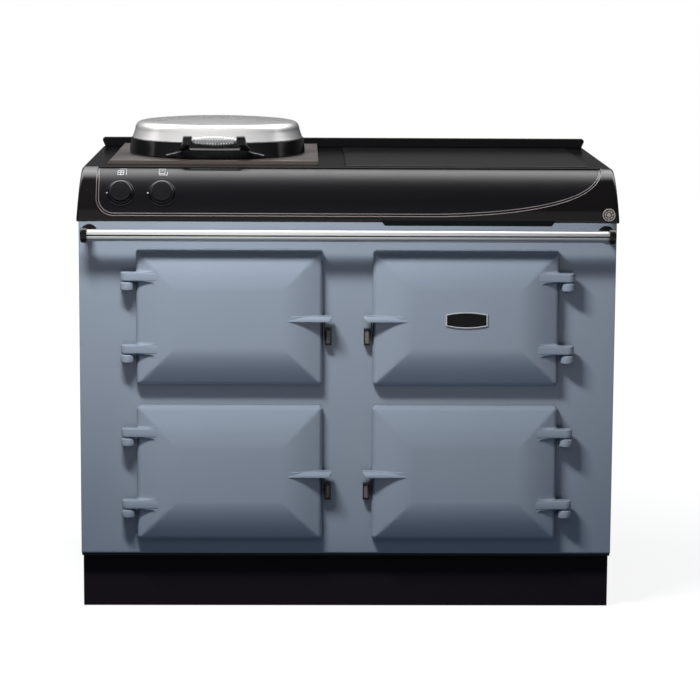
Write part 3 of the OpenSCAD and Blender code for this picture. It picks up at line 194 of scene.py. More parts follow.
LOOKS = {
    "enamel_blue": enamel("enamel_blue", (0.236, 0.275, 0.331), 0.17, 0.04, 0.9),
    "enamel_black": enamel("enamel_black", (0.0055, 0.0045, 0.005), 0.08, 0.006, 0.45),
    # painted highlight: a lighter brownish copy of the black enamel, for the lit lips of the ledge round the control
    # panel
    "ledge": enamel("ledge_painted_highlight", (0.13, 0.115, 0.11), 0.2, 0.0),
    "deck": enamel("deck_enamel", (0.0055, 0.0052, 0.006), 0.14, 0.006, 0.12),
    # partly painted sheen: the surround's own dark brownish enamel, made lighter than the deck for the sheen its
    # satin face shows at a glancing view
    "surround": enamel("surround_enamel", (0.052, 0.043, 0.04), 0.34, 0.01),
    "bright_wire": metal("bright_wire", (0.78, 0.79, 0.81), 0.22, 0.75, 0.002),
    "badge_rim": metal("badge_chrome", (0.66, 0.66, 0.66), 0.12, 0.5, 0.001),
    "badge_black": enamel("badge_black", (0.006, 0.006, 0.0065), 0.3, 0.01, 0.2),
    "collar": metal("collar_chrome", (0.12, 0.12, 0.125), 0.12, 1.0, 0.001),
    "tick": metal("tick_steel", (0.75, 0.75, 0.75), 0.3, 0.4, 0.001),
    "lid_black": enamel("lid_black", (0.007, 0.0065, 0.007), 0.12, 0.006),
    "vent": enamel("vent_black", (0.0035, 0.005, 0.0065), 0.4, 0.02, 0.12),
    "dull_steel": metal("dull_steel", (0.20, 0.22, 0.25), 0.4, 0.6, 0.01, (30, 30, 260)),
    "plinth": enamel("plinth_enamel", (0.0125, 0.010, 0.0125), 0.34, 0.04, 0.08),
    "pan": metal("pan_steel", (0.05, 0.052, 0.056), 0.5, 1.0, 0.01),
    "chrome": metal("chrome", (0.80, 0.80, 0.79), 0.07, 0.8, 0.0),
    "stainless": metal("stainless", (0.62, 0.62, 0.61), 0.22, 1.0, 0.006, (500, 40, 40)),
    "plated_steel": metal("plated_steel", (0.56, 0.57, 0.585), 0.38, 1.0, 0.01, (30, 30, 260)),
    "medallion": metal("medallion_nickel", (0.50, 0.46, 0.43), 0.3, 0.45, 0.002),
    "medallion_field": metal("medallion_field", (0.11, 0.095, 0.088), 0.45, 0.3, 0.01),
    "roller": metal("roller_steel", (0.17, 0.155, 0.14), 0.4, 0.3, 0.02, (60, 60, 700)),
    "heater": metal("heater_sheath", (0.30, 0.27, 0.25), 0.55, 1.0, 0.03),
    "windings": metal("copper_winding", (0.72, 0.36, 0.2), 0.32, 1.0, 0.03, (900, 900, 30)),
    "control_gloss": blotched("control_gloss", (0.009, 0.008, 0.0095), 0.05, (0.02, 0.018, 0.02),
                              (700, 2.0, 0.4, 0.6, 0.75), (30, 3.0, 0.04, 0.075), [(0.012, 60, 1.0)]),
    "lid_steel": blotched("lid_steel", (0.86, 0.835, 0.815), 0.2, (0.84, 0.825, 0.81),
                          (2.5, 0.0, 0.5, 0.2, 0.8), share=0.5),
    "panel": blotched("panel_satin", (0.0035, 0.003, 0.004), 0.42, (0.009, 0.0085, 0.0095),
                      (800, 2.0, 0.4, 0.6, 0.75), (24, 3.0, 0.41, 0.44), [(0.002, 1200)], spec=0.42),
    "bracket_black": blotched("bracket_black", (0.006, 0.006, 0.0065), 0.26, (0.010, 0.0095, 0.010),
                              (20, 4.0, 0.6, 0.4, 0.7), (40, 3.0, 0.22, 0.32), [(0.01, 120, 3.0)], spec=0.4),
    "cast_iron": blotched("cast_iron", (0.045, 0.044, 0.045), 0.5, (0.085, 0.075, 0.068),
                          (35, 6.0, 0.6, 0.4, 0.65), (60, 5.0, 0.42, 0.66),
                          [(0.09, 700, 5.0, None, 0.7), (0.12, 120, 3.0)], share=0.55),
    "knob": blotched("knob_black", (0.006, 0.006, 0.007), 0.3, (0.009, 0.009, 0.01), (60, 3.0, 0.6), None,
                     [(0.01, 1500)]),
    "switch_body": blotched("switch_body", (0.13, 0.125, 0.12), 0.6, (0.09, 0.085, 0.08), (70, 4.0, 0.7),
                            None, [(0.02, 900)]),
    "nylon": blotched("nylon", (0.02, 0.02, 0.02), 0.55, (0.035, 0.034, 0.033), (80, 4.0, 0.7),
                      None, [(0.02, 800)]),
    "mark": blotched("pale_print", (0.55, 0.55, 0.56), 0.4, (0.42, 0.42, 0.43), (900, 3.0, 0.6),
                     None, [(0.004, 1500)]),
    # painted shadow: a near-black sheet for the shade round the deck's tongue
    "dark": blotched("shadow_gap", (0.004, 0.004, 0.0045), 0.6, (0.007, 0.0065, 0.0065), (120, 4.0, 0.7),
                     None, [(0.01, 600)], spec=0.1),
}

# the rail's plating, with a painted reflection in its base colour: a dark line along the tube where it faces level,
# and a fainter grey line low on its underside
rail = Look("rail_chrome_painted_reflection", (0.6, 0.6, 0.59), 0.12, 0.35)
facing = rail.node("ShaderNodeSeparateXYZ")
rail.link(rail.node("ShaderNodeTexCoord").outputs["Normal"], facing.inputs[0])
SOFT_EDGE = 0.05
# painted reflection: each band mixes a grey into the base colour where the normal's height lies between near and far
for near, far, painted_reflection_grey, share in ((-0.02, 0.16, 0.012, 1.0), (-0.64, -0.55, 0.3, 0.5)):
    band = rail.node("ShaderNodeMath", operation="MULTIPLY")
    rail.link(rail.spread(facing.outputs["Z"], near - SOFT_EDGE, near), band.inputs[0])
    rail.link(rail.spread(facing.outputs["Z"], far, far + SOFT_EDGE, 1.0, 0.0), band.inputs[1])
    rail.tint(band.outputs[0], (painted_reflection_grey, painted_reflection_grey, painted_reflection_grey), share)
LOOKS["rail_chrome_painted_reflection"] = rail

glass = Look("hob_glass", (0.016, 0.016, 0.017), 0.14, Specular_IOR_Level=0.45)
glass.tint(glass.spread(glass.cells(1400), 0.0, 0.16, 1.0, 0.0), (0.05, 0.05, 0.055), 0.5)
glass.roughen(glass.noise(3), 0.13, 0.15)
glass.bump(glass.noise(900, 1.0), 0.0006)
LOOKS["hob_glass"] = glass
rope = Look("glass_rope", (0.34, 0.33, 0.30), 0.92)
lay = rope.noise(1.0, 2.0, stretch=(420, 420, 420), turn=(0, 45, 0))
rope.tint(rope.spread(lay, 0.4, 0.6), (0.14, 0.13, 0.12), 0.8)
rope.bump(rope.cells(420), 0.7)
LOOKS["rope"] = rope
wool = Look("mineral_wool", (0.62, 0.55, 0.36), 0.98)
wool.tint(wool.noise(90, 6.0), (0.36, 0.30, 0.18), 0.8)
wool.bump(wool.noise(1.0, 6.0, stretch=(260, 260, 60)), 2.0)
LOOKS["wool"] = wool

# looks of nodes that differ from those of their material slot
LOOK_OF_NODE = {
    "top_plate": "deck", "rear_upstand": "deck", "base_pan": "pan", "hotplate_surround": "surround",
    "plinth_front": "plinth", "plinth_sides": "plinth", "lid_liner": "plated_steel", "hinge_pins": "dull_steel",
    **{f"roller_{row}_{side}": "roller" for row in ("top", "bottom") for side, _ in SIDES},
}


def look_of(node):
    return LOOKS[LOOK_OF_NODE.get(node, SLOT_OF[node])].mat


# -------- pieces
def settle(obj, mat, node=None, body=None, slot=None):
    """Gives a piece its material, hangs it on the body it rides on, and hides the node it stands for."""
    obj.data.materials.clear()
    obj.data.materials.append(mat)
    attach(obj, body or BODY_OF[node])
    if node:
        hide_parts(node)
    return obj


def clean(mesh, flat=None):
    """Joins double points, turns the faces outwards, and joins faces that lie within flat degrees."""
    bm = bmesh.new()
    bm.from_mesh(mesh)
    bmesh.ops.remove_doubles(bm, verts=bm.verts, dist=1e-6)
    bmesh.ops.recalc_face_normals(bm, faces=bm.faces)
    for face in bm.faces:
        face.smooth = True
    if flat:
        bmesh.ops.dissolve_limit(bm, angle_limit=math.radians(flat), verts=bm.verts, edges=bm.edges)
    bm.to_mesh(mesh)
    bm.free()


SHARP, SMOOTH = 28, 179  # the angle above which an edge is bevelled, and one that no edge reaches


def place_piece(name, mesh, bevel, angle):
    """Puts a mesh in the scene with edges rounded by bevel millimetres, or else sharp above an angle."""
    obj = bpy.data.objects.new(name, mesh)
    bpy.context.scene.collection.objects.link(obj)
    if bevel:
        edge = obj.modifiers.new("edges", "BEVEL")
        edge.width, edge.segments = bevel / MM, 2
        edge.limit_method, edge.angle_limit = "ANGLE", math.radians(SHARP)
        edge.harden_normals = True
        angle = SMOOTH
    mesh.polygons.foreach_set("use_smooth", [True] * len(mesh.polygons))
    mesh.set_sharp_from_angle(angle=math.radians(angle))
    mesh.update()
    return obj


def build(name, made, look, angle=38, bevel=0.0, **who):
    """Makes a piece from a Mesh in millimetres."""
    where = np.array(made.points, float)
    where[:, 1] += PANEL_Y
    mesh = bpy.data.meshes.new(name)
    mesh.from_pydata((where / MM).tolist(), [], made.faces)
    clean(mesh)
    return settle(place_piece(name, mesh, bevel, angle), LOOKS[look].mat, **who)


def dress(node, bevel):
    """Stands a copy of a CAD node in its place, with joined faces, softened edges and a material."""
    mesh = NODES[node].data.copy()
    clean(mesh, flat=0.4)
    if "custom_normal" in mesh.attributes:
        mesh.attributes.remove(mesh.attributes["custom_normal"])
    settle(place_piece(node + "_form", mesh, bevel, None), look_of(node), node)


class Mesh:
    """Points and faces of a piece while it is put together."""

    def __init__(self, points=(), faces=()):
        self.points, self.faces = list(points), list(faces)

    def add(self, points, faces):
        start = len(self.points)
        self.points += [tuple(p) for p in points]
        self.faces += [tuple(i + start for i in f) for f in faces]

    def loft(self, rings, closed=True, solid=False, cap=False):
        """Joins rings of equally many points: a solid has both its ends closed, a cap only the last one."""
        n = len(rings[0])
        faces = [
            (k * n + i, k * n + (i + 1) % n, (k + 1) * n + (i + 1) % n, (k + 1) * n + i)
            for k in range(len(rings) - 1)
            for i in range(n if closed else n - 1)
        ]
        if solid:
            faces.append(tuple(range(n))[::-1])
        if solid or cap:
            faces.append(tuple(range((len(rings) - 1) * n, len(rings) * n)))
        self.add([p for ring in rings for p in ring], faces)


def lofted(rings, **how):
    made = Mesh()
    made.loft(rings, **how)
    return made


def lathe(profile, place, steps):
    """Turns a profile of (radius, height) about an axis. place maps (a, b, height) to a point."""
    return lofted([[place(radius * cos(360 * i / steps), radius * sin(360 * i / steps), height)
                    for i in range(steps)] for radius, height in profile])


# -------- camera, lamps and floor
scene = bpy.context.scene
scene.view_settings.view_transform = "Standard"
camera = bpy.data.objects.new("camera", bpy.data.cameras.new("camera"))
scene.collection.objects.link(camera)
scene.camera = camera
SENSOR, FOCAL_LENGTH, FRAME_WIDTH = 36.0, 2646.08, 700  # mm, and two lengths in pixels
camera.data.sensor_width = SENSOR
camera.data.lens = FOCAL_LENGTH / FRAME_WIDTH * SENSOR
camera.data.clip_end = 60.0
yaw, pitch, roll = -0.01913, 0.15139, 0.00582  # radians
camera.matrix_world = (
    Matrix.Translation(Vector((-97.02, -5340.4 + PANEL_Y, 1358.4)) / MM)
    @ Matrix.Rotation(yaw, 4, "Z")
    @ Matrix.Rotation(math.pi / 2 - pitch, 4, "X")
    @ Matrix.Rotation(roll, 4, "Z")
)


def lamp(name, size, watts, place, aim):
    """An oblong lamp, in metres from the middle of the floor, that no mirror shows."""
    data = bpy.data.lights.new(name, "AREA")
    data.shape, data.size, data.size_y, data.energy = "RECTANGLE", size[0], size[1], watts
    obj = bpy.data.objects.new(name, data)
    scene.collection.objects.link(obj)
    obj.location = place
    obj.rotation_mode = "QUATERNION"
    obj.rotation_quaternion = (Vector(aim) - Vector(place)).to_track_quat("-Z", "Y")
    obj.visible_glossy = False


lamp("key", (0.6, 0.2), 46, (-0.54, -1.26, 1.98), (0, -0.25, 0.5))
lamp("front", (1.4, 0.3), 1.6, (-0.1, -1.75, 1.05), (0, -0.28, 0.8))
lamp("overhead", (2.0, 1.4), 4, (0, 0.5, 2.6), (0, 0.1, 0.9))


class Nodes:
    """Shorthand for the nodes of one node tree."""

    def __init__(self, tree):
        self.tree = tree
        tree.nodes.clear()

    def make(self, kind, *sources, **fields):
        """Makes a node, feeds its inputs in order (sockets or numbers) and returns its first output."""
        node = self.tree.nodes.new(kind)
        for key, value in fields.items():
            setattr(node, key, value)
        for socket, source in zip(node.inputs, sources):
            if source is None:
                continue
            if isinstance(source, bpy.types.NodeSocket):
                self.tree.links.new(source, socket)
            else:
                socket.default_value = source
        return node.outputs[0] if node.outputs else None

    def math(self, operation, *sources):
        return self.make("ShaderNodeMath", *sources, operation=operation)

    def ramp(self, value, low, high, to_low, to_high):
        """A smooth step from to_low to to_high."""
        return self.make("ShaderNodeMapRange", value, low, high, to_low, to_high, interpolation_type="SMOOTHSTEP")

    def outputs(self, kind):
        return self.tree.nodes.new(kind).outputs


scene.world = bpy.data.worlds.new("studio")
scene.world.use_nodes = True
sky = Nodes(scene.world.node_tree)
rays = sky.outputs("ShaderNodeLightPath")
seen = sky.math("MAXIMUM", sky.math("MAXIMUM", rays["Is Camera Ray"], rays["Is Glossy Ray"]),
                rays["Is Transmission Ray"])
way = sky.tree.nodes.new("ShaderNodeSeparateXYZ")
sky.tree.links.new(sky.outputs("ShaderNodeTexCoord")["Generated"], way.inputs[0])
# height over the horizon behind the cooker, in degrees up to 180 at the horizon before it
height = sky.math("MULTIPLY", sky.math("ARCTAN2", way.outputs["Z"], way.outputs["Y"]), 180 / math.pi)
backdrop = sky.math("MULTIPLY", sky.ramp(height, 10, 34, 0.075, 0.5), sky.ramp(height, 70, 104, 1.0, 0.14))
softbox = sky.math("MULTIPLY", sky.ramp(height, 22, 62, 0.0, 4.6), sky.ramp(height, 74, 98, 1.0, 0.0))
front = sky.math("MULTIPLY", sky.ramp(way.outputs["Z"], 0.15, 0.22, 0.26, 0.0),
                 sky.ramp(way.outputs["Y"], -0.35, -0.1, 1.0, 0.0))
room = sky.math("MULTIPLY", sky.math("ADD", sky.math("ADD", backdrop, softbox), front),
                sky.ramp(sky.math("ABSOLUTE", way.outputs["X"]), 0.55, 0.92, 1.0, 0.15))
shown = sky.make("ShaderNodeBackground", (1, 1, 1, 1), sky.math("MAXIMUM", rays["Is Camera Ray"], room))
fill = sky.make("ShaderNodeBackground", (0.5, 0.75, 1.2, 1), 0.085)
sky.make("ShaderNodeOutputWorld", sky.make("ShaderNodeMixShader", seen, fill, shown))

# The floor is pale where the camera sees it, paler still far off, and lets little light bounce up
floor_mesh = bpy.data.meshes.new("floor")
FLOOR_RADIUS, FLOOR_SIDES = 9.0, 60
rim = [(FLOOR_RADIUS * cos(360 * i / FLOOR_SIDES), FLOOR_RADIUS * sin(360 * i / FLOOR_SIDES), 0.0)
       for i in range(FLOOR_SIDES)]
floor_mesh.from_pydata(rim, [], [tuple(range(FLOOR_SIDES))])
floor = bpy.data.objects.new("floor", floor_mesh)
scene.collection.objects.link(floor)
pale = bpy.data.materials.new("pale_floor")
pale.use_nodes = True
ground = Nodes(pale.node_tree)
rays = ground.outputs("ShaderNodeLightPath")
mirrored = ground.math("MAXIMUM", rays["Is Glossy Ray"], rays["Is Transmission Ray"])
spot = ground.outputs("ShaderNodeTexCoord")["Object"]
grain = ground.make("ShaderNodeTexNoise", spot, None, 40)
far = ground.tree.nodes.new("ShaderNodeVectorMath")
far.operation = "LENGTH"
ground.tree.links.new(spot, far.inputs[0])
glow = ground.make("ShaderNodeEmission", (1, 1, 1, 1), ground.ramp(far.outputs["Value"], 0.6, 1.5, 0.9, 1.0))
white = ground.make("ShaderNodeAddShader", ground.make("ShaderNodeBsdfDiffuse", (0.16, 0.16, 0.16, 1)), glow)
low = ground.make("ShaderNodeEmission", (1, 1, 1, 1), ground.ramp(far.outputs["Value"], 0.7, 2.4, 0.06, 0.5))
dim = ground.make("ShaderNodeAddShader",
                  ground.make("ShaderNodeBsdfDiffuse", (0.04, 0.04, 0.04, 1), ground.math("MULTIPLY", grain, 0.5)),
                  ground.make("ShaderNodeEmission", (0.5, 0.72, 1.1, 1), 0.16))
unseen = ground.make("ShaderNodeMixShader", mirrored, dim, low)
ground.make("ShaderNodeOutputMaterial",
            ground.make("ShaderNodeMixShader", rays["Is Camera Ray"], unseen, white))
floor_mesh.materials.append(pale)


# -------- oven doors
DOOR_W, DOOR_H = 379.5, 279.0
DOOR_X, DOOR_Z = 240.25, {"top": 612.0, "bottom": 291.5}
EDGE = DOOR_W / 2
# heights of a door at its rim and crown, widths of its slope and shoulder, radius of its corners
RIM, CROWN, RUN, SHOULDER, CORNER = 22.0, 48.0, 85.0, 8.0, 8.0
HINGE_X, HINGE_Y, KNUCKLE, ARM_BACK = EDGE + 17, 24.0, 13.5, 10
ARM_Z, ARM_H = (-63.5, 85.0), 18.5
ARM_REACH, ARM_LEVEL, ARM_RISE = 50, 8, 4.0  # where an arm ends and its rise starts, in from the door's edge
LATCH_T, LATCH_TIP, LATCH_OVER = 11.0, -EDGE + 76, 18.5
SUNK = 14.0  # height inside the casting at which arms and latch start
EDGE_ZONE = 90  # the width of a door's edge in which the grid is close


def face_height(d):
    """Height of a door's face at a distance d from its edge: a slope that flattens, and a round shoulder."""
    slope = RIM + (CROWN - RIM) * sin(90 * min(1.0, d / RUN))
    if d >= SHOULDER:
        return slope
    return slope - RIM / 2 * (1 - math.sqrt(max(0.0, 1 - ((SHOULDER - d) / SHOULDER) ** 2)))


def soft_min(a, b, k):
    h = max(k - abs(a - b), 0.0) / k
    return min(a, b) - h * h * k * 0.25


def fillet(s, r):
    """Height of a hollow fillet of radius r at a distance s from the wall it runs up to."""
    return 0.0 if s >= r else r - math.sqrt(max(0.0, r * r - (r - max(s, 0.0)) ** 2))


def band_distance(v, middle, half):
    return abs(v - middle) - half


def arm_front(u):
    """Height of a hinge arm's front: level over the pin, then rising with the door's face."""
    run = (EDGE - ARM_LEVEL - u) / (ARM_REACH - ARM_LEVEL)
    return HINGE_Y + KNUCKLE + ARM_RISE * max(0.0, min(1.0, run))


def door_height(u, v):
    """Height of the face over the panel. The arms are pieces of their own; here are only their fillets."""
    d = soft_min(EDGE - abs(u), DOOR_H / 2 - abs(v), 3.5)
    height = face_height(max(0.0, d))
    extra = 0.0
    for z in ARM_Z:
        room = arm_front(u) - 0.8 - height
        if u > EDGE - ARM_REACH and room > 0:
            extra = max(extra, min(fillet(band_distance(v, z, ARM_H / 2), 7.0), room))
    if u < LATCH_TIP + 8:
        room = max(0.0, CROWN - 1.5 - height)
        run = max(0.0, u - LATCH_TIP)
        away = math.hypot(max(0.0, band_distance(v, 0, LATCH_T / 2)), run)
        extra = max(extra, min(fillet(away, 1.6), room))
    return height + extra


def door_lines(half, marks):
    """Grid lines across a door: close at the shoulders and beside the arms."""
    near = [0, 0.25, 0.8, 1.7, 2.9, 4.4, 6.1, 8, 10, 12.5, 15.5, 19, 23, 27.5, *range(32, 78, 5), 81, 85, EDGE_ZONE]
    near += [half - abs(m) for m in marks if half - abs(m) < EDGE_ZONE]
    lines = {round(d - half, 3) for d in near} | {round(half - d, 3) for d in near}
    lines |= {round(m, 3) for m in marks}
    inner = half - EDGE_ZONE
    lines |= {round(-inner + 2 * inner * i / 14, 3) for i in range(15)}
    ordered = sorted(lines)
    return [x for i, x in enumerate(ordered) if i == 0 or x - ordered[i - 1] > 0.12]


def on_corner(u, v, a, b, r):
    """Draws the square corner of a plate in to a round one of radius r."""
    cu, cv = math.copysign(a - r, u), math.copysign(b - r, v)
    du, dv = u - cu, v - cv
    if du * cu <= 0 or dv * cv <= 0:
        return u, v
    scale = max(abs(du), abs(dv)) / math.hypot(du, dv)
    return cu + du * scale, cv + dv * scale


def door_mesh():
    """A right-hand door in its own frame: (u across, height over the panel, v up)."""
    a, b = EDGE, DOOR_H / 2
    marks = []
    for z, half in ((ARM_Z[0], ARM_H / 2), (ARM_Z[1], ARM_H / 2), (0, LATCH_T / 2)):
        for step in (-0.6, 0.0, 0.35, 1.0, 2.2, 4.0, 7.0):
            marks += [z + half + step, z - half - step]
    band = {round(b - abs(m), 3) for m in marks if b - abs(m) < EDGE_ZONE}
    columns = door_lines(a, [a - d for d in band] + [d - a for d in band]
                         + [LATCH_TIP, LATCH_TIP + 1.5, LATCH_TIP + 3, LATCH_TIP + 5])
    rows = door_lines(b, marks + [b - d for d in band] + [d - b for d in band])
    nu, nv = len(columns), len(rows)
    points = []
    for v in rows:
        for u in columns:
            x, z = on_corner(u, v, a, b, CORNER)
            points.append((x, door_height(u, v), z))
    faces = []
    for j in range(nv - 1):
        for i in range(nu - 1):
            p = (j * nu + i, j * nu + i + 1, (j + 1) * nu + i + 1, (j + 1) * nu + i)
            u, v = (columns[i] + columns[i + 1]) / 2, (rows[j] + rows[j + 1]) / 2
            if abs((a - abs(u)) - (b - abs(v))) < 3 and a - abs(u) < EDGE_ZONE:
                if u * v > 0:
                    faces += [(p[0], p[1], p[2]), (p[0], p[2], p[3])]
                else:
                    faces += [(p[0], p[1], p[3]), (p[1], p[2], p[3])]
            else:
                faces.append(p)
    made = Mesh(points, faces)
    rim = list(range(nu)) + [j * nu + nu - 1 for j in range(1, nv)]
    rim += [(nv - 1) * nu + i for i in range(nu - 2, -1, -1)] + [j * nu for j in range(nv - 2, 0, -1)]
    outline = [points[i] for i in rim]
    inner = [(x * (a - 16) / a, z * (b - 16) / b) for x, _, z in outline]
    made.loft([outline, [(x, 4.0, z) for x, _, z in outline],
               [(x * 0.9975, 3.0, z * 0.9965) for x, _, z in outline],
               [(x, 3.0, z) for x, z in inner], [(x, 13.0, z) for x, z in inner]], cap=True)
    return made


def arm_plate(outline, z0, z1, round_by):
    """A casting drawn from an outline, with its edges rounded by stacked, drawn-in outlines."""
    steps = [(round_by * (1 - sin(a)), round_by * (1 - cos(a))) for a in (0, 22.5, 45, 67.5, 90)]
    levels = [(inset, z0 + rise) for inset, rise in steps] + [(inset, z1 - rise) for inset, rise in reversed(steps)]
    return [[(x, y, z) for x, y in drawn_in(outline, inset)] for inset, z in levels]


def drawn_in(outline, by):
    """Moves a convex outline's sides inwards by a distance."""
    if by == 0:
        return list(outline)
    n, out = len(outline), []
    area = sum(outline[i][0] * outline[(i + 1) % n][1] - outline[(i + 1) % n][0] * outline[i][1]
               for i in range(n))
    turn = 1 if area > 0 else -1
    for i in range(n):
        p0, p1, p2 = (Vector(outline[(i + k) % n]) for k in (-1, 0, 1))
        e0, e1 = (p1 - p0).normalized(), (p2 - p1).normalized()
        n0, n1 = Vector((-e0.y, e0.x)) * turn, Vector((-e1.y, e1.x)) * turn
        way = n0 + n1
        way = way / max(0.25, way.dot(n0)) if way.length > 1e-6 else n0
        out.append(tuple(p1 + way * by))
    return out


def hinge_arm_mesh(z):
    """A hinge arm: it grows out of the slope and ends round its pin, thicker in front of the knuckle."""
    back_run = math.sqrt(KNUCKLE ** 2 - ARM_BACK ** 2)
    start = math.degrees(math.atan2(-ARM_BACK, -back_run))
    outline = [(EDGE - ARM_REACH, SUNK)]
    outline += [(HINGE_X + KNUCKLE * cos(a), HINGE_Y + KNUCKLE * sin(a))
                for a in (start + (90 - start) * i / 26 for i in range(27))]
    outline += [(EDGE - d, arm_front(EDGE - d))
                for d in (ARM_LEVEL, (ARM_LEVEL + ARM_REACH) // 2, ARM_REACH)]
    return arm_plate(outline, z - ARM_H / 2, z + ARM_H / 2, 3.0)


def latch_mesh():
    """The thumb piece: a sharp lower front edge and a round top, cut at a slant at its free end."""
    front, back, out = CROWN - 0.5, SUNK, -EDGE - LATCH_OVER
    half, mid = LATCH_T / 2, (back + front) / 2
    section = [(back, -half), (front - 1.2, -half), (front - 0.35, -half + 0.3), (front, -half + 1.0),
               (front, -half + 2.2)]
    section += [(front - 10 + 10 * cos(a), -half + 2.2 + (LATCH_T - 2.2) * sin(a))
                for a in (10, 20, 30, 40, 50, 60, 70, 78, 85, 90)]
    section += [(back, half)]
    rings = []
    for x, squeeze in ((out, 0.86), (out + 0.5, 0.94), (out + 1.6, 1.0), (out + 20, 1.0),
                       *((-EDGE + d, 1.0) for d in (4, 22, 40, 56)),
                       (LATCH_TIP - 8, 1.0), (LATCH_TIP - 2, 0.985), (LATCH_TIP, 0.95)):
        blend = max(0.0, min(1.0, (-EDGE - x) / LATCH_OVER))
        thin = 1.0 - 0.4 * max(0.0, (x + EDGE - 10) / 66) ** 3
        ring = []
        for y, z in section:
            lean = 4.0 * (half - z) / LATCH_T if x < -EDGE else 0.0
            ring.append((x + lean * blend, mid + (y - mid) * squeeze, ((z + half) * thin - half) * squeeze))
        rings.append(ring)
    return rings


# keeper: a thin plate that hangs under the latch
keeper = lofted([[(x, y, z) for x, y in ((-193.75, 9), (-191.55, 9), (-191.55, 26), (-193.75, 26))]
                 for z in (-44.94, -3.5)], solid=True)

# fixed lugs: short pills that stand close under the hinge arms
LUG_R = 14.0
lug_outline = [(HINGE_X + LUG_R * cos(a), HINGE_Y + LUG_R * sin(a)) for a in range(0, 181, 12)]
lug_outline += [(HINGE_X - LUG_R, 0.0), (HINGE_X + LUG_R, 0.0)]
lugs = Mesh()
for z in ARM_Z:
    rings = arm_plate(lug_outline, z - 29.0, z - ARM_H / 2 - 1.8, 4.0)
    for row_z in DOOR_Z.values():
        for _, sign in SIDES:
            lugs.loft([[(sign * (DOOR_X + u), -h, row_z + v) for u, h, v in ring] for ring in rings],
                      solid=True)
build("hinge_lug_set", lugs, "enamel_blue", angle=50, node="hinge_lugs")

base = door_mesh()
for z in ARM_Z:
    base.loft(hinge_arm_mesh(z), solid=True)
base.loft(latch_mesh(), solid=True)
for row, z in DOOR_Z.items():
    for side, sign in SIDES:
        node = f"door_{row}_{side}"

        def placed(mesh, sign=sign, z=z):
            return Mesh([(sign * (DOOR_X + u), -h, z + v) for u, h, v in mesh.points], mesh.faces)

        build(f"{node}_casting", placed(base), "enamel_blue", angle=42, node=node)
        build(f"{node}_keeper", placed(keeper), "bracket_black", bevel=0.5, body=BODY_OF[node],
              slot="bracket_black")


# -------- fascia and control panel
BODY_TOP, DECK_Z, DECK_FRONT, FOOT = 812.0, 912.0, 54.0, 22.0
RISE, RUN_IN = DECK_Z - BODY_TOP, DECK_FRONT + FOOT
LEFT, RIGHT, SWEEP = -509.5, 516.0, 330.0
HALF_WIDTH, END_ROUND = 549.0, 7.0
LEDGE_UP, CORNER_R = 7, 36  # the recess: how far up the fascia it starts, and the radius of its corner


def on_curve(x, t, depth):
    """A point of the fascia's quarter ellipse, at an angle t up it and a depth under its face."""
    return (x, DECK_FRONT - (RUN_IN - depth) * cos(t), BODY_TOP + (RISE - depth) * sin(t))


def angle_at(z):
    return math.degrees(math.asin(min(1.0, (z - BODY_TOP) / RISE)))


def half_width(t):
    """The fascia is 7 mm narrower a side from 93 mm up."""
    return HALF_WIDTH - 7.0 * min(1.0, RISE * sin(t) / 93.0)


def bezier(points, steps):
    made = []
    for i in range(steps + 1):
        s = i / steps
        a, b, c, d = ((1 - s) ** 3, 3 * s * (1 - s) ** 2, 3 * s * s * (1 - s), s ** 3)
        made.append(tuple(a * p + b * q + c * r + d * w for p, q, r, w in zip(*points)))
    return made


def swoosh(inset):
    """The control panel's outline as (x, t): down its left side, round the corner, along and up the sweep."""
    left, right, low, r = LEFT + inset, RIGHT - inset, BODY_TOP + LEDGE_UP + inset, CORNER_R - inset
    outline = [(left, low + r + (DECK_Z - low - r) * (1 - i / 9)) for i in range(9)]
    outline += [(left + r - r * cos(90 * i / 14), low + r - r * sin(90 * i / 14)) for i in range(15)]
    outline += [(left + r + (right - SWEEP - left - r) * i / 30, low) for i in range(1, 30)]
    outline += bezier([(right - SWEEP, low), (right - SWEEP / 2, low + 3), (right - 8, low + 27),
                       (right, DECK_Z)], 48)
    return [(x, angle_at(z)) for x, z in outline]


CORNER_AT = 9  # the first point of the outline's corner


def under_swoosh(inset, depth, low, rows, made):
    """Faces between the angle low and the outline's lower edge, at a depth that goes with the angle."""
    lower = swoosh(inset)[CORNER_AT:]
    grid = [[on_curve(x, u, depth(u)) for u in (low + (t - low) * j / rows for j in range(rows + 1))]
            for x, t in lower]
    made.loft(grid, closed=False)


fascia = Mesh()
ROWS = 26
under_swoosh(-1.0, lambda angle: 0.0, 0.0, ROWS, fascia)
outline = swoosh(-1.0)
ENDS = (0.0, 0.12, 0.5, 1.2, 2.2, 3.6, 5.2, END_ROUND)


def end_depth(e):
    """How far the rounded end has drawn back at a distance e from the fascia's side."""
    return END_ROUND - math.sqrt(max(0.0, END_ROUND ** 2 - (END_ROUND - e) ** 2))


def side_columns(sign, inner_x, ts, count=10):
    """Columns from the panel's side to the fascia's rounded end."""
    columns = []
    for i in range(count + 1):
        columns.append([on_curve(inner_x + (sign * (half_width(t) - END_ROUND) - inner_x) * i / count, t, 0.0)
                        for t in ts])
    for e in reversed(ENDS[:-1]):
        columns.append([on_curve(sign * (half_width(t) - e), t, end_depth(e)) for t in ts])
    return columns


corner_t = outline[CORNER_AT][1]
left_ts = [corner_t * j / ROWS for j in range(ROWS)] + [t for _, t in reversed(outline[:CORNER_AT + 1])]
right_ts = [outline[-1][1] * j / ROWS for j in range(ROWS + 1)]
for sign, ts, x in ((-1, left_ts, outline[0][0]), (1, right_ts, outline[-1][0])):
    columns = side_columns(sign, x, ts)
    fascia.loft(columns, closed=False)
    fascia.loft([columns[-1], [(x, DECK_FRONT, z) for x, _, z in columns[-1]]], closed=False)
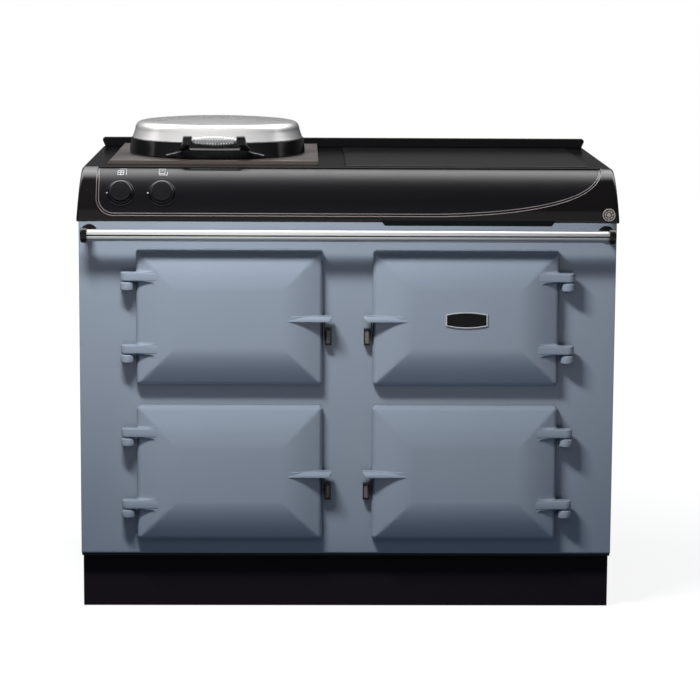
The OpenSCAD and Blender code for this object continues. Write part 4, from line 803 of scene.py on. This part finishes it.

# the ledge round the panel: a rounded lip, a flat step and a second rounded lip; the two lips are pieces of their
# own in a lighter enamel, a painted highlight on the black casting's edges
LEDGE = [(-1.0, 0.0), (-0.6, 0.04), (-0.1, 0.2), (0.4, 0.52), (0.8, 0.95), (1.1, 1.5), (1.3, 2.0), (1.6, 2.35),
         (2.1, 2.5), (4.3, 2.5), (4.8, 2.56), (5.3, 2.74), (5.8, 3.1), (6.2, 3.6), (6.5, 4.2), (6.6, 5.0),
         (6.6, 9.0)]
for start, stop, lip in ((0, 3, None), (2, 8, "outer"), (7, 11, None), (10, 16, "inner"), (15, 17, None)):
    made = Mesh() if lip else fascia
    made.loft([[on_curve(x, t, depth) for x, t in swoosh(inset)] for inset, depth in LEDGE[start:stop]],
              closed=False)
    if lip:
        piece = build(f"ledge_lip_painted_highlight_{lip}", made, "ledge", angle=60, body="cabinet", slot="enamel_black")
        piece.visible_shadow = False

# the foot: a short straight skirt with a round lower edge, and the underside
SKIRT = 5.0
foot = [-HALF_WIDTH + e for e in ENDS] + list(np.linspace(-541, 541, 28))
foot += [HALF_WIDTH - e for e in reversed(ENDS)]
rings = []
for drop, back in ((0.0, 0.0), (SKIRT - 1.6, 0.0), (SKIRT - 0.7, 0.25), (SKIRT - 0.2, 0.8), (SKIRT, 1.6),
                   (SKIRT, FOOT - 0.5), (0.0, FOOT - 0.5), (0.0, RUN_IN)):
    rings.append([(x, min(DECK_FRONT, -FOOT + max(back, end_depth(HALF_WIDTH - abs(x)))), BODY_TOP - drop)
                  for x in foot])
fascia.loft(rings, closed=False)
for x in (-HALF_WIDTH, HALF_WIDTH):
    fascia.loft([[(x, y, z) for y in (-FOOT + END_ROUND, -0.5)] for z in (BODY_TOP, BODY_TOP - SKIRT)],
                closed=False)
# no shadow: the plate just under the fascia is as bright as the rest
build("fascia_casting", fascia, "enamel_black", angle=32, node="control_fascia").visible_shadow = False


def panel_depth(t):
    """The panel lies deeper at its foot than at the deck's edge."""
    return 5.0 - 1.6 * max(0.0, min(1.0, (t - 35) / 45))


panel = Mesh()
under_swoosh(6.9, panel_depth, 90.0, 36, panel)
panel.loft([[on_curve(x, t, panel_depth(t) + d) for x, t in swoosh(i)] for i, d in
            ((6.9, 0.0), (6.75, 0.1), (6.65, 0.3), (6.62, 3.0))], closed=False)
build("panel_glass", panel, "panel", angle=32, node="control_panel").visible_shadow = False

# -------- knobs, collars and their signs
KNOB_X, KNOB_Y, KNOB_Z, TILT = (-459.5, -376.5), -4.559, 863.5, 25.998


def on_knob(x):
    """Maps (right, up, out) at a knob's foot to a point."""
    across, along = cos(TILT), sin(TILT)
    return lambda a, b, h: (x + a, KNOB_Y + along * b - across * h, KNOB_Z + across * b + along * h)


KNOB = [(0, -6), (19, -6), (19, 0.6), (21.0, 1.0), (22.8, 1.4), (23.5, 2.1), (23.5, 2.9), (22.6, 3.6),
        (21.4, 4.6), (21.0, 6.0), (21.3, 12.4)]
KNOB += [(17.5 + 3.9 * cos(a), 13.6 + 4.2 * sin(a)) for a in (0, 12, 24, 36, 48, 60, 72, 84)]
KNOB += [(17.2 * (1 - i / 9), 20.0 - 2.1 * (1 - i / 9) ** 2.0) for i in range(1, 9)] + [(0.01, 20.0)]
PIP = ((-0.6, 13.0, 18.95), (0.6, 13.0, 18.95), (0.6, 16.6, 18.15), (-0.6, 16.6, 18.15))
for side, x in zip(("left", "right"), KNOB_X):
    node = f"knob_{side}"
    put = on_knob(x)
    build(f"{node}_cap", lathe(KNOB, put, 96), "knob", angle=50, node=node)
    build(f"{node}_line", Mesh([put(*p) for p in PIP], [(0, 1, 2, 3)]), "nylon", body=BODY_OF[node],
          slot="control_gloss")


PRINT_WIDTH, PRINT_LIFT = 0.9, 0.15


def strip(made, line, place, closed):
    """A thin printed line along flat points, laid on the curved panel by place(a, b, lift)."""
    n = len(line)
    sides = []
    for i, p in enumerate(line):
        q0 = Vector(line[i - 1] if i > 0 or closed else p)
        q1 = Vector(line[(i + 1) % n] if i < n - 1 or closed else p)
        way = (q1 - q0).normalized()
        side = Vector((-way.y, way.x)) * PRINT_WIDTH / 2
        corner = 1.0
        if 0 < i < n - 1 or closed:
            e0, e1 = (Vector(p) - q0).normalized(), (q1 - Vector(p)).normalized()
            corner = 1.0 / max(0.5, math.sqrt((1 + e0.dot(e1)) / 2))
        sides.append((Vector(p) + side * corner, Vector(p) - side * corner))
    rings = [[place(p.x, p.y, PRINT_LIFT) for p in pair] for pair in sides]
    if closed:
        rings.append(rings[0])
    made.loft(rings, closed=False)


# height up the picture, seen from a little above, of the panel at each angle
TURN = np.linspace(35, 90, 111)
SIGHT = [0.9885 * z + 0.151 * y for _, y, z in (on_curve(0.0, t, 4) for t in TURN)]


def on_panel(x0, under):
    """Maps (right, up, lift) to the panel, where up is as seen from before it, from a height under its top."""
    def place(a, b, lift):
        t = float(np.interp(SIGHT[-1] - under + b, SIGHT, TURN))
        return on_curve(x0 + a, t, panel_depth(t) - lift)
    return place


def sign_lines(side):
    """Lines of the printed sign over each knob: oven panes in a corner bracket, a plate in a corner bracket."""
    if side == "left":
        panes = [(-9.0, -6.0), (3.0, -6.0), (3.0, 2.6), (-9.0, 2.6)]
        return [(panes, True), ([(-3.0, -6.0), (-3.0, 2.6)], False), ([(-9.0, -1.7), (3.0, -1.7)], False),
                ([(-4.6, 6.4), (8.4, 6.4), (8.4, -6.4)], False)]
    plate = [(-8.4, -3.6), (3.4, -3.6), (3.4, 6.2), (-8.4, 6.2)]
    return [(plate, True), ([(-5.4, 0.2), (-3.2, 2.4), (0.4, 2.4)], False),
            ([(-8.4, -6.4), (8.4, -6.4), (8.4, 0.6)], False)]


for side, x in zip(("left", "right"), KNOB_X):
    signs = Mesh()
    for line, closed in sign_lines(side):
        fine = []
        loop = line + [line[0]] if closed else line
        for p, q in zip(loop, loop[1:]):
            fine += [(p[0] + (q[0] - p[0]) * s / 4, p[1] + (q[1] - p[1]) * s / 4) for s in range(4)]
        if not closed:
            fine.append(line[-1])
        strip(signs, fine, on_panel(x + 1.0, 8.4), closed)
    build(f"sign_{side}", signs, "mark", body="cabinet", slot="control_gloss")


# -------- lid with its handle
LID_X, LID_Y, LID_Z = -274.8, 333.0, 920.0


def at_lid(a, b, h):
    return (LID_X + a, LID_Y + b, LID_Z + h)


LID_CROWN = [(0.01, 77.0)] + [(160 * i / 40, 77 - 7.8 * (i / 40) ** 2) for i in range(1, 40)]
LID_CROWN += [(159.0 + 16.0 * sin(a), 53.2 + 15.6 * cos(a)) for a in range(6, 91, 3)]
LID_CROWN += [(176.6, 48.0), (178.6, 42.0), (180.6, 36.0), (181.3, 34.6), (181.4, 34.2), (180.9, 33.9),
              (178.0, 33.9)]
LID_RING = [(178.0, 33.5), (182.6, 33.5), (183.3, 33.3), (183.8, 32.8), (184.0, 32.0), (186.0, 17.0),
            (187.7, 3.0), (187.9, 1.6), (187.6, 0.8), (187.0, 0.5), (186.0, 0.5), (185.6, 3.0), (182.0, 30.0),
            (178.0, 31.5)]
for name, profile, look, slot in (("lid_crown", LID_CROWN, "lid_steel", "chrome"),
                                  ("lid_ring", LID_RING, "lid_black", "enamel_black")):
    who = {"node": "lid_dome"} if name == "lid_crown" else {"body": BODY_OF["lid_dome"]}
    build(name, lathe(profile, at_lid, 192), look, angle=34, slot=slot, **who)


def tube(path, radius, sides):
    """A round tube along a path of points, with flat ends."""
    rings = []
    path = [Vector(p) for p in path]
    for i, p in enumerate(path):
        ahead = (path[min(i + 1, len(path) - 1)] - path[max(i - 1, 0)]).normalized()
        across = ahead.cross(Vector((1, 0, 0)) if abs(ahead.x) < 0.9 else Vector((0, 0, 1))).normalized()
        up = across.cross(ahead)
        rings.append([p + radius * (cos(360 * k / sides) * across + sin(360 * k / sides) * up)
                      for k in range(sides)])
    return lofted(rings, solid=True)


# the sprung grip: a round wire wound fat in the middle and slim at its ends, on a rod
WIRE, COIL, TURNS, TURN_STEPS = 1.6, 92.0, 15, 32  # the wire's radius, the coil's length and its turns
GRIP_Y, GRIP_Z = -220, 40.6
path = []
for i in range(TURNS * TURN_STEPS + 1):
    s = i / (TURNS * TURN_STEPS)
    r = (13 + 8 * sin(180 * s)) / 2 - WIRE
    path.append(at_lid(-COIL / 2 + 2 * WIRE + s * (COIL - 4 * WIRE), GRIP_Y + r * cos(360 * TURNS * s),
                       GRIP_Z + r * sin(360 * TURNS * s)))
build("lid_coil_wire", tube(path, WIRE, 12), "bright_wire", angle=50, node="lid_handle_coil")

# brackets: a rounded head on each side, and a leg that spreads to the band
HEAD = [(-229.6, 33.0), (-229.9, 44.0), (-228.6, 48.6), (-225.0, 50.6), (-220.0, 51.0), (-214.6, 50.4),
        (-211.0, 47.6), (-209.4, 42.0), (-205.0, 34.0), (-186.0, 27.5), (-178.0, 24.0), (-178.0, 20.0),
        (-196.0, 20.0), (-205.5, 24.0), (-212.0, 28.0), (-219.0, 30.6)]
HEAD_MIDDLE = Vector((-216.0, 39.0))
for side, sign in SIDES:
    rings = []
    for w, inset in ((0.0, 1.6), (0.5, 0.6), (1.6, 0.0), (15.9, 0.0), (17.0, 0.6), (17.5, 1.6)):
        ring = []
        for y, z in HEAD:
            inner = Vector((y, z)) - (Vector((y, z)) - HEAD_MIDDLE).normalized() * inset
            lean = max(0.0, (34 - z) / 14) * 12
            ring.append(at_lid(sign * (46.0 + w + lean), inner.x, inner.y))
        rings.append(ring)
    build(f"lid_bracket_{side}", lofted(rings, solid=True), "bracket_black", angle=42,
          body=BODY_OF["lid_handle_bracket"], slot="bracket_black")

# band: a bowed foot along the ring whose top slopes down from the brackets to two tips
rings = []
BAND_TURN, BAND_STEPS, BAND_R = 32.5, 48, 188
for i in range(BAND_STEPS + 1):
    turn = -BAND_TURN + 2 * BAND_TURN * i / BAND_STEPS
    x = BAND_R * sin(turn)
    reach = max(0.0, (abs(x) - 60) / 42)
    top = 24.0 - 15.5 * min(1.0, reach) ** 0.75
    proud = 8.6 - 6.0 * min(1.0, reach)
    section = [(181.0, top), (187.5, top), (188.4 + proud * 0.45, top - 1.0), (188.4 + proud, top - 4.0),
               (188.6 + proud, 6.0), (188.2 + proud, 4.2), (187.6 + proud * 0.7, 3.2), (186.0, 3.0)]
    rings.append([at_lid(r * sin(turn), -r * cos(turn), z) for r, z in section])
build("lid_bracket_band", lofted(rings, solid=True), "bracket_black", angle=40, node="lid_handle_bracket")


# -------- tongue of the deck over the control panel
def over_panel(rows, lift):
    """Rows of (left x, right x, height under the deck's edge as seen from before it), laid over the panel."""
    return lofted([[on_panel(0.0, under)(left + (right - left) * i / 20, 0.0, lift) for i in range(21)]
                   for left, right, under in rows], closed=False)


tongue = over_panel([(-340, -211, 0.0), (-338, -213, 0.7), (-331, -220, 3.0), (-330.5, -220.5, 3.3)], 1.6)
build("deck_tongue", tongue, "deck", angle=30, body="cabinet", slot="enamel_black")
# painted shadow: a dark sheet, a little wider than the tongue and just under it, for the shade round its edge
tongue_painted_shadow = over_panel([(-343, -208, 0.0), (-341, -210, 0.7), (-333.5, -217.5, 3.3), (-331.5, -219.5, 4.6)], 0.9)
build("deck_tongue_painted_shadow", tongue_painted_shadow, "dark", angle=30, body="cabinet", slot="enamel_black")


# -------- towel rail and its brackets
RAIL_Y, RAIL_Z, ARM_X = -55.5, 783.2, 524.5
RAIL_LENGTH = 1067.0


def along_x(x0, sign=1):
    return lambda a, b, h: (sign * (x0 + h), RAIL_Y + a, RAIL_Z + b)


RAIL = [(9.5, 0.0), (11.4, 0.0), (12.0, 0.6), (12.0, RAIL_LENGTH - 0.6), (11.4, RAIL_LENGTH), (9.5, RAIL_LENGTH)]
build("rail_tube", lathe(RAIL, along_x(-RAIL_LENGTH / 2), 96), "rail_chrome_painted_reflection", angle=50, node="rail")
CAP = [(12.3, 0.4), (14.2, 0.0), (15.1, 0.4), (15.46, 1.4), (15.46, 9.6), (15.1, 11.2), (14.0, 12.6),
       (11.0, 13.5), (6.0, 13.9), (0.01, 14.0)]
ARM = [(8.0, -5.0), (8.2, 6.0), (8.6, 30.0), (9.4, 42.0), (11.0, 50.0)]
ROSE = [(0.01, 0.0), (17.0, 0.0), (17.0, 2.6), (16.6, 4.0), (15.4, 5.0), (13.4, 5.4), (11.0, 6.4),
        (9.6, 8.6), (8.2, 12)]
for side, sign in SIDES:
    who = {"node": "rail_brackets"} if side == "left" else {"body": "cabinet", "slot": "bracket_black"}
    build(f"rail_cap_{side}", lathe(CAP, along_x(ARM_X, sign), 72), "bracket_black", angle=42, **who)

    def to_plate(a, b, h, x=sign * ARM_X):
        return (x + a, -h, RAIL_Z + b)

    for part, profile in (("arm", ARM), ("rose", ROSE)):
        build(f"rail_{part}_{side}", lathe(profile, to_plate, 64), "bracket_black", angle=42, body="cabinet",
              slot="bracket_black")

# -------- collars under the knobs
COLLAR_R = 27.6
COLLAR = [(23.8, -1.0), (24.2, 0.3), (24.6, 0.9), (25.3, 1.35), (26.1, 1.4), (26.9, 1.0), (27.4, 0.3),
          (COLLAR_R, -1.0)]
TICK = ((-29.8, -1.2), (-26.4, -1.2), (-26.4, 1.2), (-29.8, 1.2))
for side, x in zip(("left", "right"), KNOB_X):
    put = on_knob(x)
    who = {"node": "knob_bezels"} if side == "left" else {"body": "cabinet", "slot": "control_gloss"}
    build(f"collar_{side}", lathe(COLLAR, put, 96), "collar", angle=50, **who)
    tick = lofted([[put(a * k - COLLAR_R * (1 - k), b * k, h) for a, b in TICK]
                   for k, h in ((1.0, -1.0), (1.0, 1.0), (0.8, 1.5))], cap=True)
    build(f"collar_tick_{side}", tick, "tick", angle=30, body="cabinet", slot="control_gloss")

# -------- vent strip and medallion
VENT_HIGH, VENT_LOW, VENT_FOOT = (64.5, 421.5), (74.0, 412.0), 800.0
vent = lofted([[(VENT_HIGH[0], y, BODY_TOP), (VENT_HIGH[1], y, BODY_TOP),
                (VENT_LOW[1] - k, y, VENT_FOOT + k * 0.6), (VENT_LOW[0] + k, y, VENT_FOOT + k * 0.6)]
               for y, k in ((0.0, 0.0), (-14.6, 0.0), (-15.6, 0.4), (-16.0, 1.2))], solid=True)
build("vent_strip_bar", vent, "vent", angle=35, node="vent_strip").visible_shadow = False

MEDAL_X, MEDAL_UP, MEDAL_STEPS = 527.0, 12, 96
turn = math.degrees(math.asin(MEDAL_UP / RISE))
lean = math.degrees(math.atan2(sin(turn) / RISE, cos(turn) / RUN_IN))
seat = on_curve(MEDAL_X, turn, 0.0)


def on_medal(a, b, h):
    return (seat[0] + a, seat[1] - h * cos(lean) + b * sin(lean), seat[2] + h * sin(lean) + b * cos(lean))


def medal_rings(profile, petals=0):
    """Rings of (radius, height, depth of the petals) on the medallion's seat."""
    angles = [360 * i / MEDAL_STEPS for i in range(MEDAL_STEPS)]
    return [[on_medal(r * cos(a), r * sin(a), h + wave * cos(petals * a)) for a in angles] for r, h, wave in profile]


coin = lofted(medal_rings([(12.4, -1.0, 0), (12.4, 1.2, 0), (9.0, 1.3, 0), (5.0, 1.3, 0), (0.01, 1.3, 0)]))
build("medallion_coin", coin, "medallion_field", angle=40, node="medallion")
relief = Mesh()
relief.loft(medal_rings([(13.0, -1.0, 0), (13.0, 1.8, 0), (12.8, 2.6, 0), (12.3, 3.0, 0), (11.6, 3.0, 0),
                         (11.1, 2.5, 0), (11.0, 1.0, 0)]))
relief.loft(medal_rings([(8.9, 1.0, 0), (8.7, 2.0, 0.9), (7.6, 2.3, 1.1), (6.6, 2.0, 0.9), (6.4, 1.0, 0)], 8))
relief.loft(medal_rings([(4.4, 1.0, 0), (4.2, 2.2, 0.4), (3.2, 2.8, 0.5), (1.6, 2.6, 0.2), (0.01, 2.6, 0)], 5))
build("medallion_relief", relief, "medallion", angle=50, body=BODY_OF["medallion"], slot=SLOT_OF["medallion"])

# -------- badge: a bright rim round a bare black field
BADGE_W, BADGE_H, SIDE_H = 85.0, 33.6, 24.0
corners = np.array(NODES["badge"].bound_box)
middle = NODES["badge"].matrix_world @ Vector((corners.min(axis=0) + corners.max(axis=0)) / 2) * MM


def badge_ring(inset, y, count=24):
    """The badge's outline, straight at the sides and bowed above and below."""
    w, h, s = BADGE_W / 2 - inset, BADGE_H / 2 - inset, SIDE_H / 2 - inset * 0.8
    bow = [(-w + 2 * w * i / count, s + (h - s) * (1 - (2 * i / count - 1) ** 2)) for i in range(count + 1)]
    return [(middle.x + x, y, middle.z + z) for x, z in bow + [(x, -z) for x, z in reversed(bow)]]


BADGE_RIM = ((0.0, -48.0), (0.0, -49.8), (0.4, -50.6), (1.1, -51.0), (1.9, -50.9), (2.4, -50.4), (2.7, -49.9),
             (2.8, -49.4))
build("badge_rim", lofted([badge_ring(inset, y) for inset, y in BADGE_RIM]), "badge_rim", angle=35, node="badge")
field = lofted([badge_ring(2.7, -49.4), badge_ring(3.0, -49.5), badge_ring(5.0, -49.55)], cap=True)
build("badge_field", field, "badge_black", angle=35, body=BODY_OF["badge"], slot="chrome")


# -------- every other node
BEVELS = {  # radius of the softened edges in millimetres
    "levelling_feet": 0.5, "plinth_front": 0.8, "plinth_sides": 0.8, "back_screws": 0.3, "cable_gland": 0.5,
    "front_plate": 1.2, "door_seals": 2.2, "hinge_pins": 0.6, "catch_brackets": 0.5, "top_plate": 1.6,
    "rear_upstand": 1.5, "hotplate_surround": 0.8, "hotplate": 0.8, "hob_glass": 0.7, "lid_hinge_arm": 1.5,
    "lid_hinge_bracket": 1.2, "insulation": 6.0,
    **{f"{part}_{row}_{side}": width for part, width in (("oven", 1.2), ("door_liner", 1.0))
       for row in DOOR_Z for side, _ in SIDES},
}
for node, obj in NODES.items():
    if obj.hide_render:  # a piece above stands for it
        continue
    if node in BEVELS:
        dress(node, BEVELS[node])
    else:
        obj.data.materials.clear()
        obj.data.materials.append(look_of(node))
